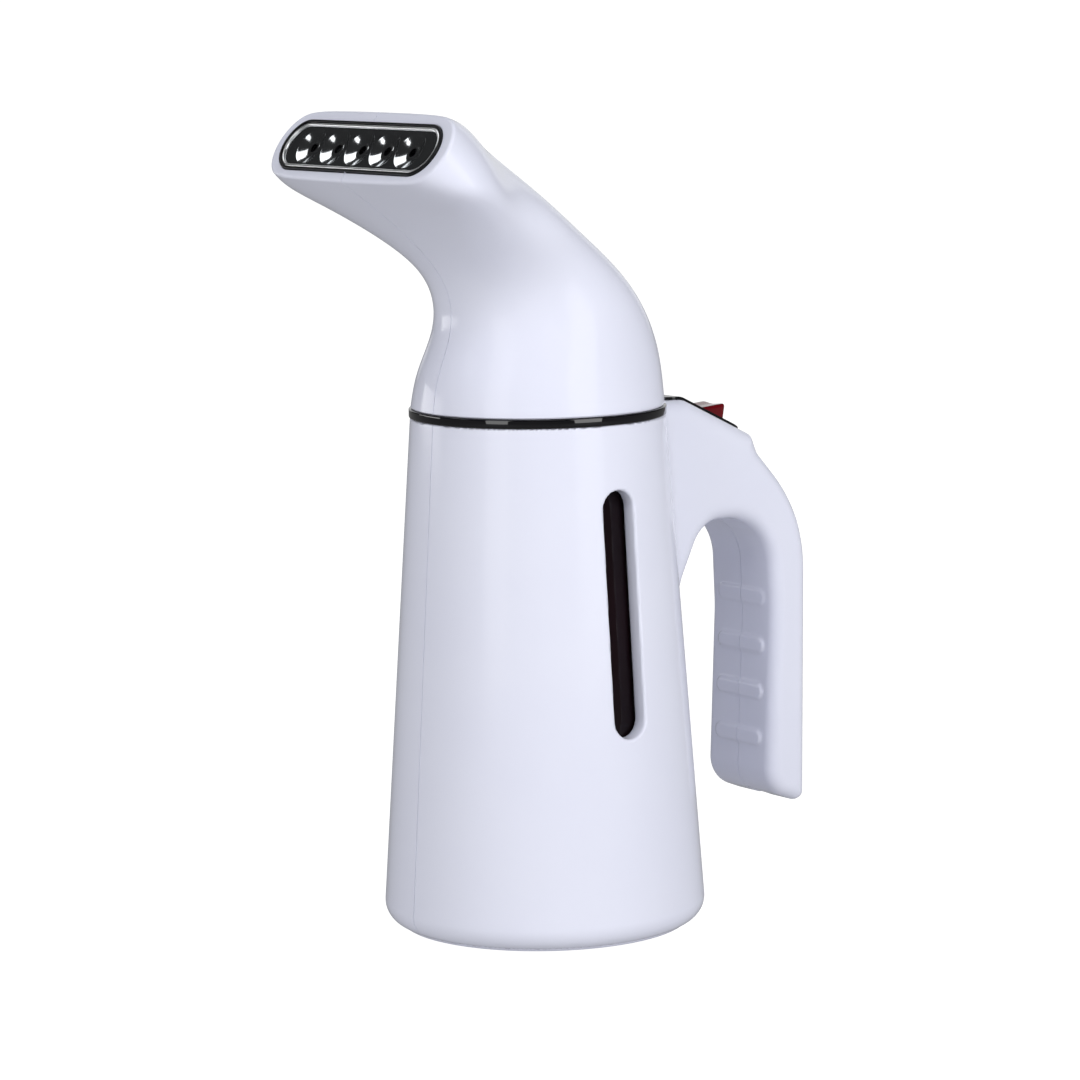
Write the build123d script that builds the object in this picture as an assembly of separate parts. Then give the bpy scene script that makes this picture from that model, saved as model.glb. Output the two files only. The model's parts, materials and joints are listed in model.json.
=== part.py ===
from build123d import *
import os
from math import atan, cos, pi, radians, sin, tan, tanh

import numpy as np

# Handheld garment steamer, millimetres. The origin is the middle of the underside, on the surface it
# stands on. +Z is up, the nozzle looks towards -Y, the handle hangs at +Y, and X = 0 is the mirror plane.

# Driving dimensions
base_radius = 50.0            # cone radius at the surface it stands on
neck_radius = 38.85           # cone radius at the joint between body and head
joint_height = 159.7          # top of the black ring, where the head seats
ring_height = 2.8
wall = 2.4
base_fillet = 7.0
tank_inset = 6.0              # from the outer skin of the cone to the outside of the tank
tank_wall = 1.8
tank_floor = 24.0
grip_half_width = 16.8
thread_lead = 60.0            # rise of the head in one full turn
thread_starts = 3
play = 0.3                    # gap between pieces that move past each other
head_gap = 0.1                # between the ring and the resting head
fit = 0.05                    # clearance of pieces that are assembled together

ring_bottom = joint_height - ring_height
head_bottom = joint_height + head_gap
taper = (base_radius - neck_radius) / joint_height

up = Align.MIN
centred = (Align.CENTER, Align.CENTER, Align.MIN)


def cone_radius(height):
    return base_radius - taper * height


# ---------------------------------------------------------------- small helpers
def disc(radius, low, high):
    return Pos(0, 0, low) * Cylinder(radius, high - low, align=centred)


def ring(inner, outer, low, high):
    return disc(outer, low, high) - disc(inner, low - 1, high + 1)


def cone(inset, low, high):
    """Solid cone that follows the body's taper, inset from its outer skin."""
    frustum = Cone(cone_radius(low) - inset, cone_radius(high) - inset, high - low, align=centred)
    return Pos(0, 0, low) * frustum


def turned(points):
    """Solid of revolution about Z from (radius, height) points."""
    outline = Polyline(*[(r, 0, z) for r, z in points], close=True)
    return revolve(make_face(outline), Axis.Z, 360)


def stadium(half_length, half_height, low, high):
    """Prism with full-round ends, along the local Z from low to high."""
    outline = SlotOverall(2 * half_length, 2 * half_height)
    return Pos(0, 0, low) * extrude(outline, high - low)


def lead(points, radius=1.1, bend=5.0):
    """Insulated lead along straight runs joined by tangent arcs."""
    path = FilletPolyline(*points, radius=bend)
    profile = Plane(origin=path @ 0, z_dir=path % 0) * Circle(radius)
    return sweep(profile, path=path)


def screw(head_radius, head_height, shaft_radius, length):
    """Pan-head screw with a cross recess. The head's underside is at the origin, its shaft along -Z."""
    head = Cylinder(head_radius, head_height, align=centred)
    head = fillet(head.edges().group_by(Axis.Z)[-1], 0.35 * head_height)
    shaft = Pos(0, 0, -length) * Cylinder(shaft_radius, length, align=centred)
    slot = Box(1.5 * head_radius, 0.25 * head_radius, 0.5 * head_height, align=centred)
    cross = Pos(0, 0, 0.6 * head_height) * (slot + Rot(0, 0, 90) * slot)
    return head + shaft - cross


def around(piece, angles):
    return [Rot(0, 0, angle) * piece for angle in angles]


def right_half(solid):
    return solid & (Pos(0, 0, 100) * Box(200, 400, 400, align=(Align.MIN, Align.CENTER, Align.CENTER)))


def left_half(solid):
    return solid & (Pos(0, 0, 100) * Box(200, 400, 400, align=(Align.MAX, Align.CENTER, Align.CENTER)))


# ---------------------------------------------------------------- head form
# The head is a loft through sections that lean over from level at the ring to the nozzle's plane.
# Each station: front point (y, z), back point (y, z), half width, squareness, lower fullness.
head_stations = (
    ((-38.8, head_bottom), (38.8, head_bottom), 38.8, 0.01, 0.00),
    ((-37.0, 170.0), (37.4, 177.8), 35.5, 0.01, 0.00),
    ((-33.0, 181.0), (26.0, 198.0), 32.0, 0.01, -0.10),
    ((-31.6, 191.0), (9.5, 212.8), 30.0, 0.10, -0.14),
    ((-35.0, 200.7), (-6.6, 224.6), 32.0, 0.30, -0.05),
    ((-48.0, 214.4), (-25.9, 240.5), 38.2, 0.80, 0.28),
    ((-58.7, 222.8), (-40.6, 248.0), 43.5, 1.60, 0.26),
    ((-70.2, 231.0), (-56.0, 250.8), 45.0, 2.60, 0.00),
)
nozzle_lean = radians(54.4)   # of the mouth's upward direction above the horizontal
nozzle_middle = (0, -63.1, 240.9)
nozzle_plane = Plane(origin=nozzle_middle, x_dir=(1, 0, 0), z_dir=(0, -sin(nozzle_lean), cos(nozzle_lean)))
section_points = 28
loft_sections = 8


def natural_cubic(knots, values, at):
    """Smooth curve through values at knots, with free ends."""
    count = len(knots)
    step = np.diff(knots)
    matrix = np.eye(count)
    right = np.zeros((count, values.shape[1]))
    for i in range(1, count - 1):
        matrix[i, i - 1:i + 2] = step[i - 1], 2 * (step[i - 1] + step[i]), step[i]
        right[i] = 6 * ((values[i + 1] - values[i]) / step[i] - (values[i] - values[i - 1]) / step[i - 1])
    bend = np.linalg.solve(matrix, right)
    i = min(max(int(np.searchsorted(knots, at)) - 1, 0), count - 2)
    a, b = knots[i + 1] - at, at - knots[i]
    h = step[i]
    line = (values[i] / h - bend[i] * h / 6) * a + (values[i + 1] / h - bend[i + 1] * h / 6) * b
    return (bend[i] * a**3 + bend[i + 1] * b**3) / (6 * h) + line


station_values = np.array([[*front, *back, *rest] for front, back, *rest in head_stations])
station_middles = (station_values[:, 0:2] + station_values[:, 2:4]) / 2
station_knots = np.concatenate([[0], np.cumsum(np.linalg.norm(np.diff(station_middles, axis=0), axis=1))])
head_length = station_knots[-1]


def head_section(at, inset=0.0, half_width=None, half_depth=None, square=None):
    """Closed outline of the head at a distance along its middle line, or of a smaller form inside it."""
    values = natural_cubic(station_knots, station_values, at)
    front, back = values[0:2], values[2:4]
    width, squareness, fullness = values[4:7]
    middle = (front + back) / 2
    depth = np.linalg.norm(back - front) / 2
    across = (back - front) / (2 * depth)
    if half_width is not None:
        width, depth, squareness, fullness = half_width, half_depth, square, 0.0
    width, depth = width - inset, depth - inset
    squareness = max(squareness, 0.01)
    points = []
    for i in range(section_points):
        turn = 2 * pi * i / section_points
        flat = (width - depth) * tanh(squareness * cos(turn)) / tanh(squareness)
        x = (flat + depth * cos(turn)) * (1 - fullness * sin(turn))
        y, z = middle + across * depth * sin(turn)
        points.append((x, y, z))
    return make_face(Spline(points, periodic=True))


def head_form(inset, first=0.0, last=head_length):
    places = np.linspace(first, last, loft_sections)
    return loft([head_section(at, inset) for at in places])


# ---------------------------------------------------------------- head pieces
mouth_half_length = 40.4      # the pocket for the gasket
mouth_half_height = 9.15
mouth_depth = 8.0
gasket_proud = 1.2
plate_half_length = 38.8
plate_half_height = 8.0
plate_back = -2.6             # the plate's back, under the mouth's plane
plate_front = -0.6
hole_pitch = 13.0
hole_count = 5
hole_radius = 1.5
dimple_radius = 5.6
collar_plate = 2.5            # thickness of the head's closing plate
collar_radius = 35.4
spigot_outer = 30.4
spigot_inner = 28.4
spigot_bottom = 149.6
inlet_radius = 5.1            # bore of the soft cup on the steam pipe
duct_wall = 1.6
duct_start = head_bottom + collar_plate
head_boss_radius = 22.0
head_boss_angles = (45, 135, 225, 315)
head_boss_top = 172.0


def head_shell():
    outer = head_form(0)
    hollow = head_form(wall, -1.5, head_length - 6)
    throat = loft([head_section(head_length - 6.5, wall + 0.2), head_section(head_length, 3.6)])
    pocket = nozzle_plane * stadium(mouth_half_length, mouth_half_height, -mouth_depth, 5)
    skin = outer - hollow - throat - pocket
    floor_cut = disc(collar_radius + 0.3, head_bottom - 1, duct_start)
    boss = Pos(head_boss_radius, 0, duct_start) * Cylinder(4, head_boss_top - duct_start, align=centred)
    rib = Pos(head_boss_radius + 2, 0, duct_start) * Box(14, 2, head_boss_top - duct_start,
                                                         align=(up, Align.CENTER, up))
    pilot = Pos(head_boss_radius, 0, duct_start - 1) * Cylinder(1.5 + fit, 8, align=centred)
    bosses = Part() + around(boss + rib, head_boss_angles)
    pilots = Part() + around(pilot, head_boss_angles)
    return skin + (bosses & head_form(1.0)) - pilots - floor_cut


def thread_ridge(inner, outer, height, start_angle, start_height, sweep_angle):
    """Helical ridge of rectangular section, on the lead of the head's thread."""
    rise = thread_lead * sweep_angle / 360
    middle = (inner + outer) / 2
    path = Helix(pitch=thread_lead, height=rise, radius=middle)
    profile = Plane(origin=path @ 0, x_dir=(1, 0, 0), z_dir=path % 0) * Rectangle(outer - inner, height)
    ridge = sweep(profile, path=path, is_frenet=True)
    return Pos(0, 0, start_height) * Rot(0, 0, start_angle) * ridge


thread_height = 2.0
rib_start = 153.4             # middle height of a body rib at its lower end
rib_sweep = 28
lug_sweep = 16
lug_start_angle = 2
neck_bore = 32.4
rib_inner = 30.8
lug_outer = 32.1


def head_collar():
    plate = disc(collar_radius, head_bottom, head_bottom + collar_plate)
    spigot = ring(spigot_inner, spigot_outer, spigot_bottom, head_bottom + 0.5)
    collar = plate + spigot
    drop = thread_height + play + 0.1
    start = rib_start - drop + thread_lead * lug_start_angle / 360
    for k in range(thread_starts):
        angle = lug_start_angle + 360 / thread_starts * k
        collar += thread_ridge(spigot_outer - 0.4, lug_outer, thread_height, angle, start, lug_sweep)
    bore = disc(7.0, head_bottom - 1, head_bottom + collar_plate + 1)
    clearance = Pos(head_boss_radius, 0, head_bottom - 1) * Cylinder(1.6, 5, align=centred)
    return collar - bore - (Part() + around(clearance, head_boss_angles))


def head_screws():
    one = Pos(head_boss_radius, 0, head_bottom) * Rot(180, 0, 0) * screw(2.9, 1.6, 1.5, 8.5)
    return Compound(around(one, head_boss_angles))


def steam_duct():
    """Duct from the collar's bore, widening to a slot as wide as the steam plate."""
    places = (0.20, 0.42, 0.60, 0.80)
    widths = ((10.0, 9.0, 0.1), (15.0, 8.8, 0.3), (22.0, 8.2, 0.8), (29.0, 6.7, 1.6))
    flange_back = plate_back - 1.0 - 2.0

    def form(inset):
        start = Plane.XY.offset(duct_start) * Circle(9.5 - inset)
        end_form = SlotOverall(2 * (36.6 - inset), 2 * (6.8 - inset))
        middle = [head_section(head_length * at, inset, *width) for at, width in zip(places, widths)]
        return [start, *middle, nozzle_plane.offset(flange_back) * end_form]

    outer, inner = form(0), form(duct_wall)
    duct = loft([to_spline(outer[0]), *outer[1:-1], to_spline(outer[-1])])
    hollow = loft([to_spline(inner[0]), *inner[1:-1], to_spline(inner[-1])])
    flange = nozzle_plane * stadium(plate_half_length, plate_half_height, flange_back, plate_back - 1.0)
    mouth = nozzle_plane * stadium(36.6 - duct_wall, 6.8 - duct_wall, flange_back - 1, 0)
    return duct + flange - hollow - mouth


def to_spline(face):
    """The same outline as one closed spline, so that a loft joins like to like."""
    wire = face.face().outer_wire() if not isinstance(face, Face) else face.outer_wire()
    count = section_points
    points = [wire @ (i / count) for i in range(count)]
    first = max(range(count), key=lambda i: points[i].X)
    ordered = points[first:] + points[:first]
    if ordered[count // 4].Z < ordered[3 * count // 4].Z:
        ordered = [ordered[0]] + ordered[:0:-1]
    return make_face(Spline(ordered, periodic=True))


def duct_seal():
    outer = stadium(plate_half_length, plate_half_height, plate_back - 1.0, plate_back)
    inner = stadium(35.4, 5.6, plate_back - 2, plate_back + 1)
    return nozzle_plane * (outer - inner)


def inlet_seal():
    cup = ring(inlet_radius, 7.0 - fit, 147.5, duct_start)
    lip = ring(7.0 - fit, 9.0, 157.6, head_bottom)
    return cup + lip


def nozzle_gasket():
    outer = stadium(mouth_half_length - fit, mouth_half_height - fit, -mouth_depth + fit, gasket_proud)
    seat = stadium(plate_half_length + fit, plate_half_height + fit, -mouth_depth - 1, plate_front + fit)
    window = stadium(plate_half_length - 0.7, plate_half_height - 0.7, -1, gasket_proud + 1)
    frame = outer - seat - window
    frame = fillet(frame.edges().group_by(Axis.Z)[-1], 0.4)
    return nozzle_plane * frame


def nozzle_plate():
    plate = stadium(plate_half_length, plate_half_height, plate_back, plate_front)
    step = stadium(plate_half_length - 0.75, plate_half_height - 0.75, plate_front - 0.1, plate_front + 0.8)
    plate += step
    ball_radius = 14.0
    dish_depth = 1.2
    for k in range(hole_count):
        x = hole_pitch * (k - (hole_count - 1) / 2)
        top = plate_front + 0.8
        plate -= Pos(x, 0, top - dish_depth + ball_radius) * Sphere(ball_radius)
        plate += Pos(x, 0, top - dish_depth - 0.3) * Cylinder(2.4, 0.7, align=centred)
        plate -= Pos(x, 0, plate_back - 1) * Cylinder(hole_radius, 6, align=centred)
    return nozzle_plane * plate


# ---------------------------------------------------------------- neck
def collar_ring():
    bead = 0.35               # how far the ring stands proud of the body's skin
    outer = cone_radius(ring_bottom) - 0.1
    body = ring(neck_bore, outer, ring_bottom, joint_height)
    body += ring(outer - 1, outer + bead, ring_bottom, joint_height)
    rims = body.edges().filter_by(GeomType.CIRCLE).sort_by(SortBy.RADIUS)[-2:]
    body = fillet(rims, 0.9)
    tube = ring(neck_bore, 35.0, 149.6, ring_bottom)
    snap = ring(34.5, 36.5, 151.0, 153.0)
    groove = ring(33.3, 35.1, joint_height - 1.7, joint_height + 1)
    collar = body + tube + snap - groove
    for k in range(thread_starts):
        angle = 360 / thread_starts * k
        collar += thread_ridge(rib_inner, neck_bore + 0.4, thread_height, angle, rib_start, rib_sweep)
    return collar


def neck_o_ring():
    return Pos(0, 0, joint_height - 0.82) * Torus(34.2, 0.82)


def tank_seal():
    return ring(32.6, 36.0, 148.0, 149.6)


# ---------------------------------------------------------------- body shells and handle
shoulder_top = 158.9
shoulder_front = (47.1, shoulder_top)
shoulder_back = (73.2, 146.2)
panel_half_width = 10.2
panel_thickness = 1.6
panel_proud = 1.0
switch_y = 57.5
shoulder_slope = (shoulder_front[1] - shoulder_back[1]) / (shoulder_back[0] - shoulder_front[0])
shoulder_tilt = atan(shoulder_slope)
switch_normal = Vector(0, sin(shoulder_tilt), cos(shoulder_tilt))
switch_foot = Vector(0, switch_y, shoulder_top - shoulder_slope * (switch_y - shoulder_front[0]))
# The switch's frame lies on the panel's top: X across, Y down the shoulder, Z out of it.
switch_plane = Plane(origin=switch_foot + switch_normal * panel_proud, x_dir=(1, 0, 0), z_dir=switch_normal)

# Side outline of shoulder, grip and finger gap as (y, z, corner radius)
grip_foot = (77.0, 32.0)      # the finger side of the grip, as (y, z)
grip_top = (79.7, 88.0)
pill_proud = 0.8
handle_start = (30.0, shoulder_top)
handle_end = (34.6, 84.0)      # inside the cone, on the line of the arch's near leg
handle_corners = (
    (*shoulder_front, 6.0),
    (*shoulder_back, 2.5),
    (75.4, 140.6, 3.0),
    (93.5, 119.6, 48.0),
    (92.2, 26.0, 3.0),
    (*grip_foot, 10.0),
    (*grip_top, 60.0),
    (78.5, 120.6, 17.0),
    (52.2, 120.6, 11.5),
)
grip_fillet = 5.5
grip_pill_heights = (93.0, 77.5, 62.3, 47.0)
slot_low = 62.8
slot_high = 137.4
slot_width = 11.2
slot_frame = 5.6              # depth of the slot's side walls from the outer skin
shell_boss_places = ((88.0, 102.0), (88.0, 74.0), (68.0, 130.0))
gland_y = 86.0
lead_y = 83.4                 # the leads run up the finger side of the grip's cavity
gland_low = 35.0
gland_high = 47.0
base_cover_radius = 44.6
base_boss_radius = 40.6
base_boss_angles = (45, 135, 225, 315)
base_boss_top = 18.0


def handle_outline(inset=0.0):
    """Side face of the handle, or of the cavity a wall's thickness inside it."""
    points = [handle_start, *[(y, z) for y, z, _ in handle_corners], handle_end]
    path = FilletPolyline(*points, radius=[r for _, _, r in handle_corners])
    face = Plane.YZ * make_face(path + Line(handle_end, handle_start))
    return offset(face, -inset, kind=Kind.INTERSECTION) if inset else face


def handle_block():
    """The handle's solid. Its side edges are one smooth loop, rounded all the way."""
    block = extrude(handle_outline(), grip_half_width, both=True)
    sides = [edge for edge in block.edges()
             if abs(abs(edge.center().X) - grip_half_width) < 0.001 and edge.center().Y > 41]
    return fillet(sides, grip_fillet)


def grip_pill(height):
    """Low rounded bar across the grip's finger side."""
    face_y = grip_foot[0] + (height - grip_foot[1]) * (grip_top[0] - grip_foot[0]) / (grip_top[1] - grip_foot[1])
    bar = Box(24.0, 5.0, 4.6)
    bar = fillet(bar.edges().filter_by(Axis.Y), 2.25)
    bar = fillet(bar.faces().sort_by(Axis.Y)[0].edges(), 0.6)
    return Pos(0, face_y - pill_proud + 2.5, height) * bar


def body_outer():
    low = 0.5
    skin = cone(0, low, ring_bottom)
    skin = fillet(skin.edges().group_by(Axis.Z)[0], base_fillet)
    handle = handle_block()
    handle -= disc(cone_radius(ring_bottom) + 0.6, ring_bottom, joint_height + 5)
    pills = [grip_pill(height) for height in grip_pill_heights]
    return skin + handle + pills


def body_hollow():
    hollow = cone(wall, 6.0, ring_bottom + 1)
    hollow += disc(base_cover_radius + fit, 0, 7.0)
    cavity = extrude(handle_outline(wall), grip_half_width - wall, both=True)
    cavity -= disc(39.6, 150.5, 170.0)
    return hollow + cavity


def window_slot(half_width, depth_from, depth_to):
    """Upright full-round slot, cut along X through the cone's side."""
    middle = (slot_low + slot_high) / 2
    outline = Rot(0, 0, 90) * SlotOverall(slot_high - slot_low + 2 * half_width - slot_width, 2 * half_width)
    return extrude(Plane(origin=(depth_from, 0, middle), x_dir=(0, 1, 0), z_dir=(1, 0, 0)) * outline,
                   depth_to - depth_from)


def shell_ledges():
    """Inner rings that hold the tank's flange and the neck's snap bead."""
    tank_ledge = ring(34.6, cone_radius(144) - 1.0, 143.4, 146.0)
    neck_ledge = ring(35.3, cone_radius(154) - 1.0, 153.2, 155.2)
    return (tank_ledge + neck_ledge) & cone(1.0, 140, ring_bottom)


def base_bosses():
    height = base_boss_top - 3.1
    boss = Pos(base_boss_radius, 0, 3.1) * Cylinder(4, height, align=centred)
    rib = Pos(base_boss_radius + 2, 0, 8.0) * Box(5, 2, base_boss_top - 8.0, align=(up, Align.CENTER, up))
    bosses = Part() + around(boss + rib, base_boss_angles)
    pilot = Pos(base_boss_radius, 0, 2) * Cylinder(1.5 + fit, 12, align=centred)
    return bosses - (Part() + around(pilot, base_boss_angles))


def handle_boss(y, z):
    return Pos(0, y, z) * Rot(0, 90, 0) * Cylinder(3.1, 2 * (grip_half_width - wall) + 0.8)


def body_shells():
    """Both halves in one, before they are parted in the mirror plane."""
    slot_rim = window_slot(slot_width / 2 + 1.6, 20, 60) & cone(0.5, 40, 150) - cone(slot_frame, 39, 151)
    shells = body_outer() - body_hollow() + slot_rim + shell_ledges() + base_bosses()
    shells -= window_slot(slot_width / 2, 25, 60)
    shells += [handle_boss(y, z) for y, z in shell_boss_places]
    switch_well = Box(17.4, 26.0, 22.5, align=(Align.CENTER, Align.CENTER, Align.MAX))
    shells -= switch_plane * Pos(0, 0, 2) * switch_well
    shells -= panel_block(fit)
    shells -= Pos(0, gland_y, 20) * Cylinder(4.2, 40, align=centred)
    shells -= Pos(0, gland_y, gland_low - fit) * Cylinder(5.2 + fit, 20, align=centred)
    for y, z in shell_boss_places:
        axis = Pos(0, y, z) * Rot(0, -90, 0)
        shells -= axis * Pos(0, 0, -9) * Cylinder(1.25 + fit, 30, align=centred)
        shells -= axis * Pos(0, 0, 13.6) * Cylinder(2.6, 10, align=centred)
    return shells


def panel_block(gap=0.0):
    """Black switch panel that follows the shoulder's top, with rounded ends in plan."""
    raised = Pos(*(switch_normal * panel_proud)) * handle_outline()
    lowered = Pos(*(switch_normal * (panel_proud - panel_thickness - gap))) * handle_outline()
    band = extrude(raised, panel_half_width + gap, both=True) - extrude(lowered, 30, both=True)
    plan = Pos(0, 57.0, 130) * extrude(RectangleRounded(2 * (panel_half_width + gap), 31.6 + 2 * gap, 5.0), 40)
    return band & plan


def switch_panel():
    opening = switch_plane * (Box(15.8, 24.4, 10))
    return panel_block() - opening - disc(cone_radius(ring_bottom) + 0.7, 150, 170)


switch_half_width = 8.6
switch_half_length = 12.8
switch_depth = 16.4
switch_top = -2.2
rocker_pivot = -3.0           # depth of the pivot under the panel's top
rocker_radius = 11.8          # of the rocker's ends about its pivot
rocker_half_width = 7.5
rocker_angle = 20.0
blade_pivot = -12.8
blade_tilt = 6.0
blade_pin = 0.75              # radius of the fulcrum's pin
plunger_reach = 7.0           # from the rocker's pivot to the middle of the plunger's tip
terminal_low = -21.5


def switch_housing():
    outer = Pos(0, 0, switch_top) * Box(2 * switch_half_width, 2 * switch_half_length, switch_depth,
                                        align=(Align.CENTER, Align.CENTER, Align.MAX))
    inner = Pos(0, 0, 1) * Box(15.4, 24.4, switch_depth + 1.2, align=(Align.CENTER, Align.CENTER, Align.MAX))
    pin_hole = Pos(0, 0, rocker_pivot) * Rot(0, 90, 0) * Cylinder(1.0, 40)
    slots = [Pos(0, y, -15) * Box(5.0, 1.0, 10) for y in (-9, 0, 9)]
    return switch_plane * (outer - inner - pin_hole - (Part() + slots))


def rocker_local():
    """Rocker in the switch's frame, halfway between its two positions."""
    profile = Circle(rocker_radius)
    apex, rise = 3.4, 20 * tan(radians(rocker_angle / 2))
    slopes = make_face(Polyline((-20, apex + rise), (0, apex), (20, apex + rise), (20, -3.2), (-20, -3.2),
                                close=True))
    outline = Plane.YZ * (profile & slopes)
    body = extrude(outline, rocker_half_width, both=True)
    crown = body.edges().filter_by(lambda e: e.center().Z > 2.0 and abs(abs(e.center().X) - rocker_half_width) < 0.01)
    body = fillet(crown, 0.8)
    hub = Rot(0, 90, 0) * Cylinder(2.4, 10) + Pos(0, 0, -4.0) * Cylinder(2.2, 4)
    rocker = body + hub
    rocker -= Rot(0, 90, 0) * Cylinder(1.0, 30)
    rocker -= Pos(0, 0, -7.0) * Cylinder(1.3, 5.0, align=centred)
    return rocker


def rocker_place():
    return switch_plane * Pos(0, 0, rocker_pivot) * Rot(rocker_angle / 2, 0, 0)


def switch_rocker():
    return rocker_place() * rocker_local()


def spring_plunger():
    """Pushes the blade over. It is as long as it is with its spring pressed, in mid-travel."""
    stem = Pos(0, 0, -plunger_reach) * Cylinder(1.25, 4.6, align=centred)
    tip = Pos(0, 0, -plunger_reach) * Sphere(1.25)
    return rocker_place() * (stem + tip)


def rocker_pin():
    return switch_plane * Pos(0, 0, rocker_pivot) * Rot(0, 90, 0) * Cylinder(0.95, 2 * switch_half_width - 0.2)


def contact_blade():
    """Strip that rocks between the terminals, on a knuckle round the fulcrum's pin."""
    strip = Box(3.0, 18.0, 0.6)
    strip = Pos(0, 0, 1.2) * fillet(strip.edges().filter_by(Axis.Z), 0.8)
    knuckle = Rot(0, 90, 0) * Cylinder(1.4, 2.9)
    blade = strip + knuckle - Rot(0, 90, 0) * Cylinder(blade_pin + fit, 10)
    return switch_plane * Pos(0, 0, blade_pivot) * Rot(-blade_tilt, 0, 0) * blade


def switch_terminals():
    ends = [Pos(0, y, terminal_low) * Box(4.8, 0.8, 8.5, align=centred) for y in (-9, 9)]
    fulcrum = Pos(0, 0, terminal_low) * Box(4.8, 0.8, 5.5, align=centred)
    fulcrum += [Pos(x, 0, -16.4) * Box(0.8, 2.4, 4.4, align=centred) for x in (-2.0, 2.0)]
    fulcrum += Pos(0, 0, -16.4) * Box(4.8, 2.4, 0.6, align=centred)
    fulcrum += Pos(0, 0, blade_pivot) * Rot(0, 90, 0) * Cylinder(blade_pin, 4.8)
    return Compound([switch_plane * piece for piece in (*ends, fulcrum)])


def neon_lamp():
    """Small lamp under the rocker's front end, held by its two wires between the housing's sides."""
    glass = Rot(0, 90, 0) * Cylinder(1.0, 7.0)
    wires = Rot(0, 90, 0) * Cylinder(0.35, 15.3)
    return switch_plane * Pos(0, -8.6, -9.0) * (fillet(glass.edges(), 0.7) + wires)


# ---------------------------------------------------------------- water and heat
chamber_radius = 19.6
chamber_bore = 17.0
chamber_bottom = 14.0
chamber_top = 60.0
chamber_flange_radius = 27.0
pipe_radius = 5.0
pipe_top = 157.0
cover_screw_radius = 22.2
cover_screw_angles = (45, 135, 225, 315)
element_radius = 13.0
element_tube = 3.2


def water_tank():
    outer = cone(tank_inset, tank_floor - 2.5, 147.0)
    inner = cone(tank_inset + tank_wall, tank_floor, 150.0)
    flange = ring(30.0, 36.6, 146.0, 148.0)
    opening = disc(chamber_radius + 0.4, 0, 60)
    return outer + flange - inner - opening


def chamber_seal():
    return ring(chamber_radius + 0.5, 26.4, tank_floor, tank_floor + 1.0)


def heater_chamber():
    low = tank_floor + 1.0
    cup = disc(chamber_radius, chamber_bottom, chamber_top) - disc(chamber_bore, chamber_bottom + 4, 90)
    cup += ring(chamber_radius - 1, chamber_flange_radius, low, low + 2.5)
    cup += ring(chamber_radius - 1, 25.4, chamber_top - 3, chamber_top)
    pilot = Pos(cover_screw_radius, 0, chamber_top - 10) * Cylinder(1.5 + fit, 12, align=centred)
    ear = Pos(cover_screw_radius, 0, chamber_top - 9) * Cylinder(3.2, 6.5, align=centred)
    cup += around(ear, cover_screw_angles)
    cup -= disc(chamber_bore, chamber_bottom + 4, 90)
    inlet = Pos(0, 0, low + 5) * Rot(90, 0, 0) * Cylinder(1.5, 80)
    return cup - (Part() + around(pilot, cover_screw_angles)) - inlet


def chamber_cover():
    outer = turned([(0, 60), (25.4, 60), (25.4, 62.5), (19.0, 62.5), (9.0, 71.5), (7.5, 77.5), (0, 77.5)])
    hollow = turned([(0, 59), (17.0, 59), (17.0, 61.0), (7.0, 70.0), (4.0, 70.5), (4.0, 74), (0, 74)])
    socket = disc(pipe_radius + fit, 72.0, 80)
    clearance = Pos(cover_screw_radius, 0, 55) * Cylinder(1.6, 10, align=centred)
    return outer - hollow - socket - (Part() + around(clearance, cover_screw_angles))


def cover_screws():
    one = Pos(cover_screw_radius, 0, 62.5) * screw(2.8, 1.8, 1.5, 9.5)
    return Compound(around(one, cover_screw_angles))


def steam_pipe():
    return ring(pipe_radius - 1.0, pipe_radius, 72.0, pipe_top)


def heating_element():
    height = chamber_bottom - element_tube
    path = CenterArc((0, 0, height), element_radius, 110, 320)
    profile = Plane(origin=path @ 0, z_dir=path % 0) * Circle(element_tube)
    element = sweep(profile, path=path)
    for side in (-1, 1):
        element += Pos(side * 5.2, 11.0, height) * Rot(-90, 0, 0) * Cylinder(1.2, 9.6, align=centred)
    return element


def thermostat():
    can = disc(7.7, chamber_bottom - 4.5, chamber_bottom)
    cap = disc(6.2, chamber_bottom - 7.5, chamber_bottom - 4.5)
    blades = [Pos(x, 0, chamber_bottom - 8.5) * Box(6.0, 4.0, 0.8, align=centred) for x in (-7.0, 7.0)]
    posts = [Pos(x, 0, chamber_bottom - 8.0) * Box(1.6, 4.0, 2.0, align=centred) for x in (-5.2, 5.2)]
    return can + cap + posts + blades


def thermal_fuse():
    body = Rot(0, 90, 0) * Cylinder(2.0, 11.0)
    body = fillet(body.edges(), 0.5)
    wires = Rot(0, 90, 0) * Cylinder(0.5, 18.0)
    return Pos(0, -22.4, 17.0) * (body + wires)


# ---------------------------------------------------------------- underside and wiring
def base_cover():
    cover = turned([(0, 0), (base_cover_radius - 0.5, 0), (base_cover_radius, 0.5), (base_cover_radius, 3.0),
                    (0, 3.0)])
    for piece in around(Pos(base_boss_radius, 0, -1) * Cylinder(1.7, 10, align=centred), base_boss_angles):
        cover -= piece
    for piece in around(Pos(base_boss_radius, 0, -1) * Cylinder(3.4, 2.6, align=centred), base_boss_angles):
        cover -= piece
    return cover


def base_screws():
    one = Pos(base_boss_radius, 0, 1.6) * Rot(180, 0, 0) * screw(3.0, 1.4, 1.5, 11.0)
    return Compound(around(one, base_boss_angles))


def shell_screws():
    one = screw(2.4, 1.6, 1.25, 18.0)
    places = [Pos(-13.6, y, z) * Rot(0, -90, 0) for y, z in shell_boss_places]
    return Compound([place * one for place in places])


def cord_gland():
    gland = ring(3.5, 5.2, gland_low, gland_high)
    return Pos(0, gland_y, 0) * gland


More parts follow.
